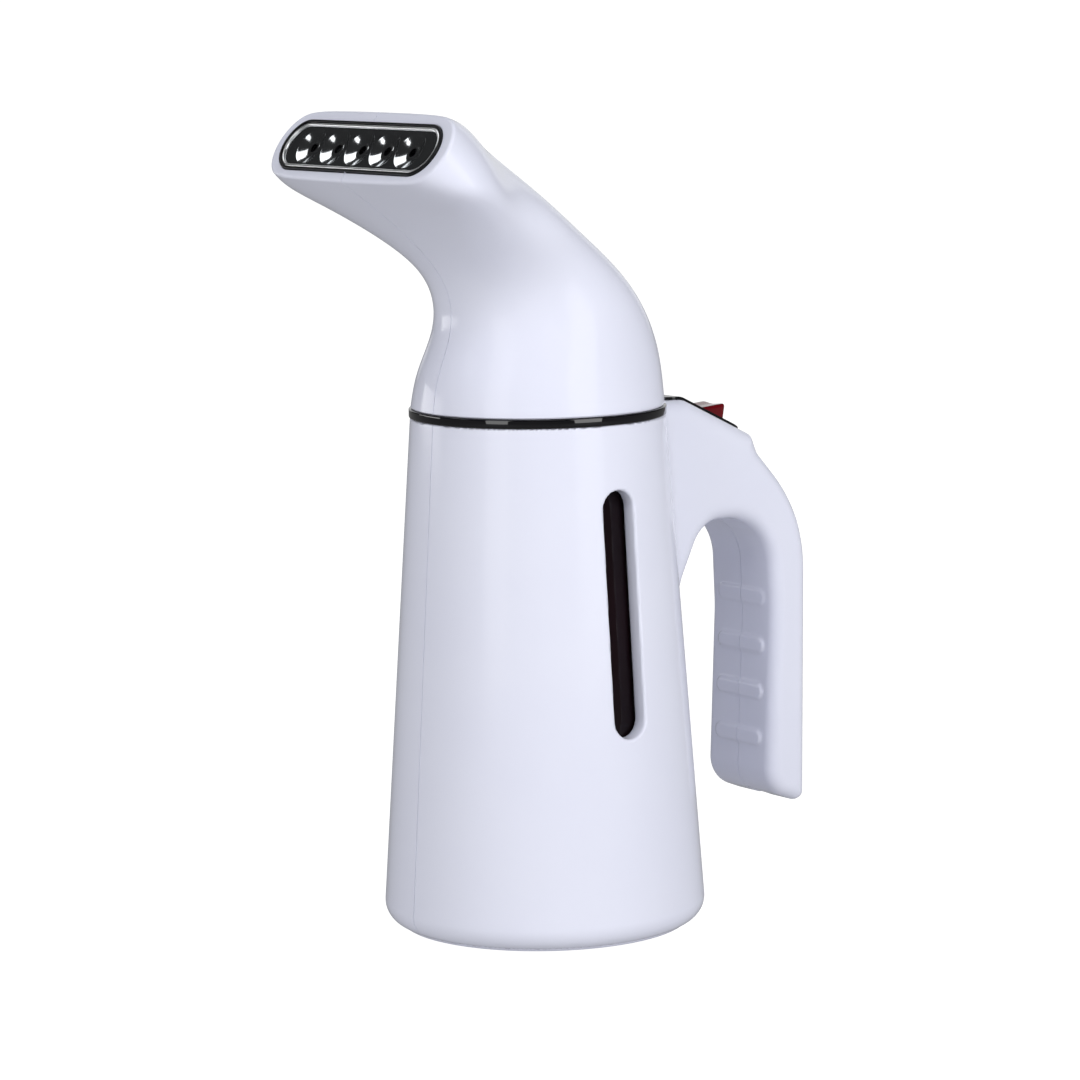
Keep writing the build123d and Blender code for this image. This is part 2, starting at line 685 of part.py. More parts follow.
def terminal_block():
    block = Pos(0, lead_y, 56.0) * Box(14.0, 4.6, 9.0, align=centred)
    block = fillet(block.edges().filter_by(Axis.Y), 0.8)
    for x in (-2.8, 2.8):
        block -= Pos(x, lead_y, 50) * Cylinder(1.2, 20, align=centred)
    return block


def under_terminal(along, below):
    """Point under a switch terminal, on its line."""
    return switch_plane.from_local_coords(Vector(0, along, -21.55 - below))


def live_lead():
    return lead([(2.8, lead_y, 56.0), (2.8, lead_y, 107.5), (2.8, 77.0, 124.5), (1.0, 60.0, 125.2),
                 under_terminal(9, 6.0), under_terminal(9, 0)], bend=2.5)


def gap_y(height):
    """Middle of the gap between the shell and the tank, at +Y."""
    return cone_radius(height) - (wall + tank_inset) / 2


def to_heater(x):
    """The last stretch of both heater leads: down the gap and in to the element's pin."""
    return [(x, gap_y(114), 114.0), (x, gap_y(26), 26.0), (x, gap_y(26) - 2, 11.0), (x, 20.7, 10.8)]


def neutral_lead():
    return lead([(-2.8, lead_y, 56.0), (-2.8, lead_y, 107.5), (-4.0, 76.0, 125.0), (-5.2, 46.0, 125.4),
                 *to_heater(-5.2)], bend=4.0)


def heater_lead():
    return lead([under_terminal(0, 0), under_terminal(0, 7.0), *to_heater(5.2)], bend=4.0)


# ---------------------------------------------------------------- write every piece
def main():
    os.makedirs("parts", exist_ok=True)
    head, body = head_shell(), body_shells()
    pieces = {
        "head_shell_left": left_half(head), "head_shell_right": right_half(head),
        "body_shell_left": left_half(body), "body_shell_right": right_half(body),
    }
    makers = (
        head_collar, head_screws, steam_duct, duct_seal, inlet_seal, nozzle_gasket, nozzle_plate,
        neck_o_ring, collar_ring, tank_seal, switch_panel, switch_housing, switch_rocker, spring_plunger,
        rocker_pin, contact_blade, switch_terminals, neon_lamp, water_tank, chamber_seal, heater_chamber,
        chamber_cover, cover_screws, steam_pipe, heating_element, thermostat, thermal_fuse, base_cover,
        base_screws, shell_screws, cord_gland, terminal_block, live_lead, neutral_lead, heater_lead,
    )
    pieces.update({maker.__name__: maker() for maker in makers})
    for name, piece in pieces.items():
        export_step(piece, f"parts/{name}.step")
    print(len(pieces), "pieces")


if __name__ == "__main__":
    main()
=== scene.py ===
import json
from itertools import product
from math import cos, pi, radians, sin, tanh

import bmesh
import bpy
import numpy as np
from mathutils import Matrix, Vector


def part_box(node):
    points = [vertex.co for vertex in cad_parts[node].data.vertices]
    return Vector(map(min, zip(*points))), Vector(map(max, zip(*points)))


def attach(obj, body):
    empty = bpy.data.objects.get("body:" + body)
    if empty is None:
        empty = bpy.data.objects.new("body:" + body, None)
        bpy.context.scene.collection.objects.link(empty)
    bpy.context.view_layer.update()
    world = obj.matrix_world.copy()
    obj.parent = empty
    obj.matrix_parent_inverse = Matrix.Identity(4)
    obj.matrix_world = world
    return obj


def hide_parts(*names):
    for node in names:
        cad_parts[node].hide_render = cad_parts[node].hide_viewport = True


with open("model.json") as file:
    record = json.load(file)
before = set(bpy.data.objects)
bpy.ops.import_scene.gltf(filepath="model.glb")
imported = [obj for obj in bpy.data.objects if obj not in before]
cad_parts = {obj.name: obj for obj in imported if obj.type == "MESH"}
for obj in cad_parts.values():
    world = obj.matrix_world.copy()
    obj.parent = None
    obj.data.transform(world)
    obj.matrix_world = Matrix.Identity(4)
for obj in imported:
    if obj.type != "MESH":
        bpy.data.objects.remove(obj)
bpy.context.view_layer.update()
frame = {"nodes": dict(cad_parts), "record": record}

# Looks of the handheld garment steamer. Shapes are worked out in millimetres and scaled when a mesh is made.
# +Z is up, the nozzle looks towards -Y, the handle hangs at +Y, and X = 0 is the mirror plane.
scene = bpy.context.scene
MM = 0.001


def box_mm(node):
    """Lowest and highest corner of a CAD node, in millimetres."""
    low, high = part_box(node)
    return np.array(low) / MM, np.array(high) / MM


# ---------------------------------------------------------------- camera and light
CAMERA_AZIMUTH = radians(36.151)      # from +X towards -Y
CAMERA_DISTANCE = 1.2306
CAMERA_HEIGHT = 0.2935
CAMERA_YAW = radians(0.0064)
CAMERA_PITCH = radians(8.103)
CAMERA_ROLL = radians(-0.8635)
CAMERA_LENS = 135.2
SENSOR_WIDTH = 36
LIGHT_AIM = Vector((0, 0, 0.13))
AMBIENT_STRENGTH = 0.35
BACKDROP_TILT = 0.14                  # rise of the direction to the backdrop's middle
BACKDROP_EDGE, BACKDROP_CORE = 0.88, 0.95
BACKDROP_DARK, BACKDROP_BRIGHT = 0.03, 0.75
# Softboxes as (name, angle, distance, height, width, tall, power, what it lights)
SOFTBOXES = (
    ("softbox_left", -36, 1.15, 0.50, 0.45, 1.0, 4.8, "all"),
    ("softbox_right", 45, 1.15, 0.50, 0.58, 1.0, 7.5, "all"),
    ("softbox_top", 10, 0.95, 1.25, 0.7, 0.5, 1.6, "all"),
    ("glint_front", -76, 0.92, 0.74, 0.14, 0.14, 0.2, "gloss"),
    ("glint_top", -121, 0.565, 1.08, 0.50, 0.40, 1.7, "gloss"),
    ("glint_low", -112, 1.0, 0.19, 0.6, 0.16, 1.2, "gloss"),
    ("fill_behind", 172, 1.2, 0.70, 0.8, 0.8, 1.4, "diffuse"),
)
FLOOR_HALF = 40
FLOOR_DIFFUSE, FLOOR_GLOSS = 0.34, 0.10


def add_camera():
    """Camera in the place that was fitted to the photograph's outlines."""
    heading = CAMERA_AZIMUTH + CAMERA_YAW
    level = cos(CAMERA_PITCH)
    forward = Vector((-cos(heading) * level, sin(heading) * level, -sin(CAMERA_PITCH)))
    right = forward.cross(Vector((0, 0, 1))).normalized()
    above = right.cross(forward)
    rolled_right = cos(CAMERA_ROLL) * right + sin(CAMERA_ROLL) * above
    rolled_above = cos(CAMERA_ROLL) * above - sin(CAMERA_ROLL) * right
    camera = bpy.data.objects.new("camera", bpy.data.cameras.new("camera"))
    camera.data.lens = CAMERA_LENS
    camera.data.sensor_width = SENSOR_WIDTH
    place = Matrix((rolled_right, rolled_above, -forward)).transposed().to_4x4()
    place.translation = (
        CAMERA_DISTANCE * cos(CAMERA_AZIMUTH), -CAMERA_DISTANCE * sin(CAMERA_AZIMUTH), CAMERA_HEIGHT)
    camera.matrix_world = place
    scene.collection.objects.link(camera)
    scene.camera = camera


def add_softbox(name, angle, distance, height, width, tall, power, lights):
    """Softbox, turned from the camera's side about the object by an angle (to the right is positive).

    It lights everything, or is seen only in "gloss", or adds only "diffuse" light.
    """
    heading = CAMERA_AZIMUTH - radians(angle)
    light = bpy.data.lights.new(name, "AREA")
    light.shape = "RECTANGLE"
    light.size = width
    light.size_y = tall
    light.energy = power
    piece = bpy.data.objects.new(name, light)
    piece.location = (distance * cos(heading), -distance * sin(heading), height)
    aim = LIGHT_AIM - piece.location
    piece.rotation_euler = aim.to_track_quat("-Z", "Y").to_euler()
    piece.visible_diffuse = lights != "gloss"
    piece.visible_glossy = lights != "diffuse"
    scene.collection.objects.link(piece)


def add_studio():
    """Even ambient light, a bright backdrop that only gloss mirrors, and the softboxes."""
    scene.view_settings.view_transform = "Standard"
    world = bpy.data.worlds.new("studio")
    world.use_nodes = True
    scene.world = world
    nodes, links = world.node_tree.nodes, world.node_tree.links
    nodes["Background"].inputs["Color"].default_value = (0.98, 0.99, 1, 1)
    place = nodes.new("ShaderNodeTexCoord")
    behind = nodes.new("ShaderNodeVectorMath")
    behind.operation = "DOT_PRODUCT"
    behind.inputs[1].default_value = (-cos(CAMERA_AZIMUTH), sin(CAMERA_AZIMUTH), BACKDROP_TILT)
    backdrop = nodes.new("ShaderNodeMapRange")
    backdrop.interpolation_type = "SMOOTHSTEP"
    backdrop.inputs["From Min"].default_value = BACKDROP_EDGE
    backdrop.inputs["From Max"].default_value = BACKDROP_CORE
    backdrop.inputs["To Min"].default_value = BACKDROP_DARK
    backdrop.inputs["To Max"].default_value = BACKDROP_BRIGHT
    path = nodes.new("ShaderNodeLightPath")
    strength = nodes.new("ShaderNodeMix")
    strength.data_type = "FLOAT"
    strength.inputs["A"].default_value = AMBIENT_STRENGTH
    links.new(place.outputs["Generated"], behind.inputs[0])
    links.new(behind.outputs["Value"], backdrop.inputs["Value"])
    links.new(backdrop.outputs["Result"], strength.inputs["B"])
    links.new(path.outputs["Is Glossy Ray"], strength.inputs["Factor"])
    links.new(strength.outputs["Result"], nodes["Background"].inputs["Strength"])
    for softbox in SOFTBOXES:
        add_softbox(*softbox)


def add_floor():
    """Floor that the camera sees as white, and that lights the object only weakly."""
    mesh = bpy.data.meshes.new("floor")
    corners = [(x * FLOOR_HALF, y * FLOOR_HALF, 0) for x, y in ((-1, -1), (1, -1), (1, 1), (-1, 1))]
    mesh.from_pydata(corners, [], [(0, 1, 2, 3)])
    floor = bpy.data.objects.new("floor", mesh)
    scene.collection.objects.link(floor)
    material = bpy.data.materials.new("pale_floor")
    material.use_nodes = True
    shader = material.node_tree.nodes["Principled BSDF"]
    nodes, links = material.node_tree.nodes, material.node_tree.links
    shader.inputs["Base Color"].default_value = (0.2, 0.2, 0.2, 1)
    shader.inputs["Roughness"].default_value = 0.9
    shader.inputs["Specular IOR Level"].default_value = 0
    shader.inputs["Emission Color"].default_value = (1, 1, 1, 1)
    path = nodes.new("ShaderNodeLightPath")
    strength = nodes.new("ShaderNodeMapRange")
    strength.inputs["To Min"].default_value = FLOOR_DIFFUSE
    strength.inputs["To Max"].default_value = FLOOR_GLOSS
    seen = nodes.new("ShaderNodeMath")
    seen.operation = "MAXIMUM"
    links.new(path.outputs["Is Glossy Ray"], strength.inputs["Value"])
    links.new(strength.outputs["Result"], seen.inputs[0])
    links.new(path.outputs["Is Camera Ray"], seen.inputs[1])
    links.new(seen.outputs["Value"], shader.inputs["Emission Strength"])
    mesh.materials.append(material)


# ---------------------------------------------------------------- materials
COLOUR_SPREAD, MOULDING_GRAIN = 26, 420
# Materials as (name, darker tone, lighter tone, roughness range, bump, other settings)
MATERIALS = (
    ("shell_white", (0.79, 0.805, 0.93), (0.805, 0.82, 0.94), (0.10, 0.16), 0.02, {"specular": 0.13}),
    ("black_gloss", (0.003, 0.003, 0.004), (0.006, 0.005, 0.007), (0.02, 0.05), 0.003, {}),
    ("black_matte", (0.003, 0.003, 0.004), (0.006, 0.006, 0.007), (0.32, 0.45), 0.12, {"specular": 0.25}),
    ("grey_plastic", (0.27, 0.27, 0.29), (0.32, 0.32, 0.34), (0.4, 0.5), 0.1, {}),
    ("rubber_black", (0.012, 0.012, 0.012), (0.02, 0.02, 0.02), (0.5, 0.65), 0.25, {}),
    ("silicone", (0.55, 0.52, 0.48), (0.62, 0.59, 0.55), (0.4, 0.5), 0.1, {}),
    ("smoked_plastic", (0.005, 0.002, 0.003), (0.009, 0.003, 0.005), (0.06, 0.12), 0.02, {"specular": 0.2}),
    ("plate_chrome", (0.50, 0.52, 0.54), (0.58, 0.60, 0.62), (0.08, 0.16), 0.02, {"metallic": 1.0}),
    # The rim is the plate's chrome painted lighter: a painted highlight, not a different metal.
    ("rim_chrome", (0.80, 0.81, 0.83), (0.88, 0.89, 0.90), (0.30, 0.38), 0.02, {"metallic": 1.0}),
    ("rocker_red", (0.10, 0.001, 0.004), (0.16, 0.002, 0.007), (0.08, 0.14), 0.02, {"coat": 0.5}),
    ("steel", (0.48, 0.48, 0.49), (0.58, 0.58, 0.59), (0.22, 0.36), 0.08, {"metallic": 1.0}),
    ("aluminium_cast", (0.50, 0.51, 0.53), (0.60, 0.61, 0.63), (0.42, 0.6), 0.5, {"metallic": 1.0}),
    ("copper_brass", (0.52, 0.33, 0.12), (0.62, 0.42, 0.17), (0.22, 0.34), 0.06, {"metallic": 1.0}),
    ("lamp_glass", (0.9, 0.62, 0.48), (0.95, 0.70, 0.55), (0.03, 0.06), 0.01, {"transmission": 0.9}),
    ("lead_brown", (0.055, 0.018, 0.007), (0.075, 0.026, 0.011), (0.4, 0.5), 0.1, {}),
    ("lead_blue", (0.012, 0.030, 0.16), (0.018, 0.042, 0.20), (0.4, 0.5), 0.1, {}),
)


def plastic(name, low, high, rough, bump, metallic=0.0, coat=0.0, transmission=0.0, specular=0.5):
    """Moulded or metal surface: colour drifts between two tones, with uneven gloss and a fine grain."""
    material = bpy.data.materials.new(name)
    material.use_nodes = True
    nodes, links = material.node_tree.nodes, material.node_tree.links
    shader = nodes["Principled BSDF"]
    place = nodes.new("ShaderNodeTexCoord")
    drift = nodes.new("ShaderNodeTexNoise")
    drift.inputs["Scale"].default_value = COLOUR_SPREAD
    drift.inputs["Detail"].default_value = 3
    tones = nodes.new("ShaderNodeValToRGB")
    tones.color_ramp.elements[0].position = 0.35
    tones.color_ramp.elements[1].position = 0.65
    tones.color_ramp.elements[0].color = (*low, 1)
    tones.color_ramp.elements[1].color = (*high, 1)
    fine = nodes.new("ShaderNodeTexNoise")
    fine.inputs["Scale"].default_value = MOULDING_GRAIN
    fine.inputs["Detail"].default_value = 4
    gloss = nodes.new("ShaderNodeMapRange")
    gloss.inputs["To Min"].default_value = rough[0]
    gloss.inputs["To Max"].default_value = rough[1]
    bumps = nodes.new("ShaderNodeBump")
    bumps.inputs["Strength"].default_value = bump
    bumps.inputs["Distance"].default_value = 0.0002
    links.new(place.outputs["Object"], drift.inputs["Vector"])
    links.new(place.outputs["Object"], fine.inputs["Vector"])
    links.new(drift.outputs["Fac"], tones.inputs["Fac"])
    links.new(tones.outputs["Color"], shader.inputs["Base Color"])
    links.new(drift.outputs["Fac"], gloss.inputs["Value"])
    links.new(gloss.outputs["Result"], shader.inputs["Roughness"])
    links.new(fine.outputs["Fac"], bumps.inputs["Height"])
    links.new(bumps.outputs["Normal"], shader.inputs["Normal"])
    shader.inputs["Metallic"].default_value = metallic
    shader.inputs["Coat Weight"].default_value = coat
    shader.inputs["Coat Roughness"].default_value = 0.06
    shader.inputs["Transmission Weight"].default_value = transmission
    shader.inputs["Specular IOR Level"].default_value = specular
    return material


def make_materials():
    """One material for each slot of the record, and one for the rim: the plate's chrome in a lighter colour,
    a painted highlight.
    """
    return {name: plastic(name, *looks, **settings) for name, *looks, settings in MATERIALS}


materials = make_materials()


def finish_cad_nodes():
    """Gives each CAD node the material of its slot."""
    for part in frame["record"]["subparts"]:
        piece = frame["nodes"][part["node"]]
        piece.data.materials.clear()
        piece.data.materials.append(materials[part["material_slot"]])


def add_piece(name, points, faces, body, slot, replaced=(), sharp=radians(40)):
    """Piece from points in millimetres, that rides on a body and may stand in for CAD nodes."""
    mesh = bpy.data.meshes.new(name)
    mesh.from_pydata((np.asarray(points) * MM).tolist(), [], [tuple(face) for face in faces])
    mesh.validate()
    mesh.polygons.foreach_set("use_smooth", [True] * len(mesh.polygons))
    mesh.set_sharp_from_angle(angle=sharp)
    mesh.materials.append(materials[slot])
    piece = bpy.data.objects.new(name, mesh)
    scene.collection.objects.link(piece)
    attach(piece, body)
    if replaced:
        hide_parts(*replaced)
    return piece


# ---------------------------------------------------------------- head
# Stations of the head: front point (y, z), back point (y, z), half width, squareness, lower fullness.
HEAD_BOTTOM = box_mm("head_shell_right")[0][2]
HEAD_STATIONS = np.array([
    (-38.8, HEAD_BOTTOM, 38.8, HEAD_BOTTOM, 38.8, 0.01, 0.00),
    (-37.0, 170.0, 37.4, 177.8, 35.4, 0.01, 0.00),
    (-32.9, 181.0, 26.0, 197.9, 31.8, 0.01, -0.12),
    (-31.6, 191.0, 9.5, 212.8, 29.8, 0.10, -0.15),
    (-35.0, 200.7, -6.6, 224.6, 32.5, 0.30, -0.10),
    (-48.0, 214.4, -25.9, 240.6, 38.2, 0.80, 0.40),
    (-58.7, 222.8, -40.6, 248.0, 44.3, 2.00, 0.30),
    (-70.1, 231.0, -56.0, 250.7, 44.6, 4.60, 0.00),
])
NOZZLE_LEAN = radians(54.4)
NOZZLE_MIDDLE = np.array((0, -63.3, 240.6))
NOZZLE_UP = np.array((0, cos(NOZZLE_LEAN), sin(NOZZLE_LEAN)))
NOZZLE_OUT = np.array((0, -sin(NOZZLE_LEAN), cos(NOZZLE_LEAN)))
POCKET_LENGTH = 40.2
POCKET_HEIGHT = 8.8
SHELL_WALL = 2.4
SEAM_WIDTH = 0.14
SEAM_DEPTH = 0.55
PARTING_GAP = 0.02                    # from the mirror plane to each half
HEAD_LIP = 1.0                        # radius of the mouth's rolled lip
POCKET_EDGE = 0.35                    # radius of the gasket pocket's edge
POCKET_DEPTHS = (2.0, 4.0, 7.0)
FOOT_BEVEL = 0.4
FOOT_RINGS = (0.5, 1.2)               # the two lowest rings of the outer skin
INNER_TOP, INNER_LOW = 12.0, 0.6      # the inner skin stops this far from each end


def natural_cubic(knots, values, at):
    """Smooth curve through values at knots, with free ends."""
    count = len(knots)
    step = np.diff(knots)
    matrix = np.eye(count)
    right = np.zeros((count, values.shape[1]))
    for i in range(1, count - 1):
        matrix[i, i - 1:i + 2] = step[i - 1], 2 * (step[i - 1] + step[i]), step[i]
        right[i] = 6 * ((values[i + 1] - values[i]) / step[i] - (values[i] - values[i - 1]) / step[i - 1])
    bend = np.linalg.solve(matrix, right)
    i = min(max(int(np.searchsorted(knots, at)) - 1, 0), count - 2)
    a, b, h = knots[i + 1] - at, at - knots[i], step[i]
    line = (values[i] / h - bend[i] * h / 6) * a + (values[i + 1] / h - bend[i + 1] * h / 6) * b
    return (bend[i] * a**3 + bend[i + 1] * b**3) / (6 * h) + line


head_middles = (HEAD_STATIONS[:, 0:2] + HEAD_STATIONS[:, 2:4]) / 2
head_knots = np.concatenate([[0], np.cumsum(np.linalg.norm(np.diff(head_middles, axis=0), axis=1))])
HEAD_LENGTH = head_knots[-1]


def along(points, fractions):
    """Points at given fractions of a polyline's length."""
    run = np.concatenate([[0], np.cumsum(np.linalg.norm(np.diff(points, axis=0), axis=1))])
    return np.stack([np.interp(fractions * run[-1], run, column) for column in points.T], axis=1)


def half_fractions(count, length):
    """Even fractions along half a ring, with one more point just beside each end for the parting line."""
    even = np.linspace(0, 1, count)[1:-1]
    beside = SEAM_WIDTH / length
    return np.concatenate([[0, beside], even, [1 - beside, 1]])


HALF_COUNT = 90
HALF_RING_LENGTH = 120
fractions = half_fractions(HALF_COUNT, HALF_RING_LENGTH)


def head_ring(at, inset=0.0):
    """Half a ring of the head's skin, X >= 0, from the front parting line to the back one."""
    values = natural_cubic(head_knots, HEAD_STATIONS, at)
    front, back = values[0:2], values[2:4]
    width, squareness, fullness = values[4:7]
    middle = (front + back) / 2
    depth = np.linalg.norm(back - front) / 2
    across = (back - front) / (2 * depth)
    width, depth, squareness = width - inset, depth - inset, max(squareness, 0.01)
    turn = np.linspace(-pi / 2, pi / 2, 1200)
    flat = (width - depth) * np.tanh(squareness * np.cos(turn)) / tanh(squareness)
    x = (flat + depth * np.cos(turn)) * (1 - fullness * np.sin(turn))
    yz = middle + across * (depth * np.sin(turn))[:, None]
    return along(np.column_stack([x, yz]), fractions)


def stadium_half(half_length, half_height):
    """Half outline, X >= 0, of a full-round slot in its own plane, from its bottom to its top."""
    turn = np.linspace(-pi / 2, pi / 2, 200)
    straight = half_length - half_height
    arc = np.column_stack([straight + half_height * np.cos(turn), half_height * np.sin(turn)])
    return along(np.vstack([[(0, -half_height)], arc, [(0, half_height)]]), fractions)


def on_nozzle(flat, height):
    """Points of the nozzle's plane, lifted out of it by a height."""
    return NOZZLE_MIDDLE + flat[:, :1] * np.array((1, 0, 0)) + flat[:, 1:] * NOZZLE_UP + height * NOZZLE_OUT


def inward(ring, normal):
    """Unit directions in a ring's plane, towards its inside."""
    tangent = np.gradient(ring, axis=0)
    side = np.cross(tangent, normal)
    side[0, 0] = side[-1, 0] = 0
    return -side / np.linalg.norm(side, axis=1)[:, None]


def head_half():
    """Closed half shell of the head, X >= 0: outer skin, rolled lip, gasket pocket and inner skin."""
    heights = np.linspace(FOOT_RINGS[1], HEAD_LENGTH - HEAD_LIP, 130)
    rings = [head_ring(at) for at in np.concatenate([FOOT_RINGS[:1], heights])]
    outer_count = len(rings)
    mouth = head_ring(HEAD_LENGTH)
    towards = inward(mouth, NOZZLE_OUT)
    if np.dot(towards[len(towards) // 2], (1, 0, 0)) > 0:
        towards = -towards
    start = mouth - HEAD_LIP * NOZZLE_OUT
    for turn in np.linspace(0, pi / 2, 9)[1:]:
        place = mouth + towards * HEAD_LIP * (1 - cos(turn)) - NOZZLE_OUT * HEAD_LIP * (1 - sin(turn))
        rings.append(place + (rings[outer_count - 1] - start) * (1 - turn / (pi / 2)))
    for turn in np.linspace(0, pi / 2, 5):
        wider = POCKET_EDGE * (1 - sin(turn))
        shape = stadium_half(POCKET_LENGTH + wider, POCKET_HEIGHT + wider)
        rings.append(on_nozzle(shape, -POCKET_EDGE * (1 - cos(turn))))
    skin_count = len(rings)
    for depth in POCKET_DEPTHS:
        rings.append(on_nozzle(stadium_half(POCKET_LENGTH, POCKET_HEIGHT), -depth))
    rings += [head_ring(at, SHELL_WALL) for at in np.linspace(HEAD_LENGTH - INNER_TOP, INNER_LOW, 40)]
    rings += [head_ring(0, SHELL_WALL), head_ring(0, FOOT_BEVEL)]
    return rings, skin_count


def add_head():
    """Both halves of the head, each with its parting edge sunk."""
    rings, skin_count = head_half()
    grid = np.array(rings)
    for column, side in ((0, 1), (-1, -1)):
        # The parting line is a fine V: the skin's edge is sunk a little below its neighbour.
        step = grid[:, column] * 0
        for k in range(skin_count):
            before, after = grid[max(k - 1, 0), column], grid[min(k + 1, skin_count - 1), column]
            tangent = (after - before) / np.linalg.norm(after - before)
            normal = np.cross(tangent, (1, 0, 0)) * side
            step[k] = normal / np.linalg.norm(normal) * SEAM_DEPTH
        toward_middle = grid[:, grid.shape[1] // 2] * (0, 1, 1) - grid[:, column]
        flip = np.sign(np.sum(step * toward_middle, axis=1))
        grid[:, column] += step * flip[:, None]
    grid[:, 0, 0] = grid[:, -1, 0] = PARTING_GAP
    rows, columns = grid.shape[:2]
    for side, name in ((1, "head_skin_right"), (-1, "head_skin_left")):
        points = (grid * (side, 1, 1)).reshape(-1, 3)
        faces = []
        for i, j in product(range(rows), range(columns - 1)):
            a, b = i * columns + j, ((i + 1) % rows) * columns + j
            faces.append((a, a + 1, b + 1, b)[::side])
        first = [i * columns for i in range(rows)]
        faces.append(first[::side])
        faces.append([i + columns - 1 for i in first][::-side])
        piece = add_piece(name, points, faces, "head", "shell_white",
                          ["head_shell_right" if side > 0 else "head_shell_left"])
        tidy_normals(piece)


def tidy_normals(piece):
    """Splits the large caps into triangles, and turns every face outwards."""
    mesh = bmesh.new()
    mesh.from_mesh(piece.data)
    bmesh.ops.triangulate(mesh, faces=[f for f in mesh.faces if len(f.verts) > 4])
    bmesh.ops.recalc_face_normals(mesh, faces=mesh.faces)
    mesh.to_mesh(piece.data)
    mesh.free()


# ---------------------------------------------------------------- nozzle
GASKET_PROUD, GASKET_DEEP = 0.7, -7.5
GASKET_ROUND = 0.3
GASKET_CLEAR = 0.1                    # between the gasket and the pocket's wall
GASKET_WIDTH = 0.95
RIM_RADIUS = 0.56
PLATE_LENGTH = POCKET_LENGTH - GASKET_WIDTH - RIM_RADIUS
PLATE_HEIGHT = POCKET_HEIGHT - GASKET_WIDTH - RIM_RADIUS
PLATE_FACE = -0.15
PLATE_BACK = -2.5
HOLE_PITCH = 13.0
HOLE_COUNT = 5
HOLE_RADIUS = 1.5
DIMPLE_RADIUS = 6.3
DIMPLE_DEPTH = 1.7
LAND_RADIUS = 2.2
LAND_DEPTH = 1.3
LAND_SLOPE = 0.6
LAND_BLEND = 0.3
DISH_POWER = 1.1
CELL_FAR = 99.0                       # further than any edge of the plate
WELD = 0.000002                       # points nearer than this become one, in metres


def ring_faces(rows, columns):
    """Quads of a closed band: rows go round its section, and columns go along it."""
    faces = []
    for i, j in product(range(rows), range(columns)):
        k, m = (i + 1) % rows, (j + 1) % columns
        faces.append((i * columns + j, i * columns + m, k * columns + m, k * columns + j))
    return faces


def swept_round_mouth(profile):
    """Closed ring along the mouth, from a profile of (distance inside the pocket's edge, height)."""
    rings = []
    for inset, height in profile:
        half = stadium_half(POCKET_LENGTH - inset, POCKET_HEIGHT - inset)[1:-1]
        loop = np.vstack([half, half[::-1] * (-1, 1)])
        rings.append(on_nozzle(loop, height))
    grid = np.array(rings)
    return grid.reshape(-1, 3), ring_faces(*grid.shape[:2])


def add_gasket():
    """Soft black frame round the plate, swept from a rounded profile along the mouth."""
    profile = [(GASKET_CLEAR, GASKET_DEEP), (GASKET_CLEAR, -1.0)]
    for turn in np.linspace(0, pi / 2, 6):
        inset = GASKET_CLEAR + GASKET_ROUND * (1 - cos(turn))
        profile.append((inset, GASKET_PROUD - GASKET_ROUND * (1 - sin(turn))))
    for turn in np.linspace(0, pi / 2, 6):
        inset = GASKET_WIDTH - GASKET_ROUND * (1 - sin(turn))
        profile.append((inset, GASKET_PROUD - GASKET_ROUND * (1 - cos(turn))))
    profile += [(GASKET_WIDTH, 0.0), (GASKET_WIDTH, GASKET_DEEP)]
    points, faces = swept_round_mouth(profile)
    piece = add_piece("nozzle_gasket_soft", points, faces, "head", "black_matte", ["nozzle_gasket"])
    tidy_normals(piece)


def plate_height(x, v):
    """Height of the steam plate over its plane: dimples, with a low flat boss round each hole."""
    last = (HOLE_COUNT - 1) / 2
    hole = np.clip(np.round(x / HOLE_PITCH), -last, last) * HOLE_PITCH
    away = np.hypot(x - hole, v)
    dish = -DIMPLE_DEPTH * np.clip(1 - (away / DIMPLE_RADIUS) ** 2, 0, None) ** DISH_POWER
    land = -LAND_DEPTH - LAND_SLOPE * np.maximum(away - LAND_RADIUS, 0)
    return PLATE_FACE + smooth_max(dish, land, LAND_BLEND)


def add_rim():
    """Bead round the plate, in a lighter chrome than the plate's: a painted highlight."""
    middle = GASKET_WIDTH + RIM_RADIUS
    profile = [(middle - RIM_RADIUS, PLATE_BACK)]
    for turn in np.linspace(0, pi, 13):
        profile.append((middle - RIM_RADIUS * cos(turn), PLATE_FACE + RIM_RADIUS * sin(turn)))
    profile.append((middle + RIM_RADIUS, PLATE_BACK))
    points, faces = swept_round_mouth(profile)
    piece = add_piece("plate_rim", points, faces, "head", "plate_chrome")
    # The rim gets the lighter chrome, a painted highlight.
    piece.data.materials[0] = materials["rim_chrome"]
    tidy_normals(piece)


def cell_reach(x_low, x_high, middle, turn):
    """Distance from a hole's middle to the edge of its share of the plate, in one direction."""
    dx, dv = cos(turn), sin(turn)
    straight = PLATE_LENGTH - PLATE_HEIGHT
    reach = CELL_FAR
    if abs(dv) > 1e-6:
        reach = min(reach, PLATE_HEIGHT / abs(dv))
    for limit in (x_low, x_high):
        if limit is not None and abs(dx) > 1e-6 and (limit - middle) / dx > 0:
            reach = min(reach, (limit - middle) / dx)
    x_hit = middle + dx * reach
    if abs(x_hit) > straight and np.sign(x_hit) == np.sign(middle) and abs(middle) > HOLE_PITCH:
        centre = (straight if middle > 0 else -straight) - middle
        along_ray = centre * dx
        reach = along_ray + (along_ray**2 - centre**2 + PLATE_HEIGHT**2) ** 0.5
    return reach


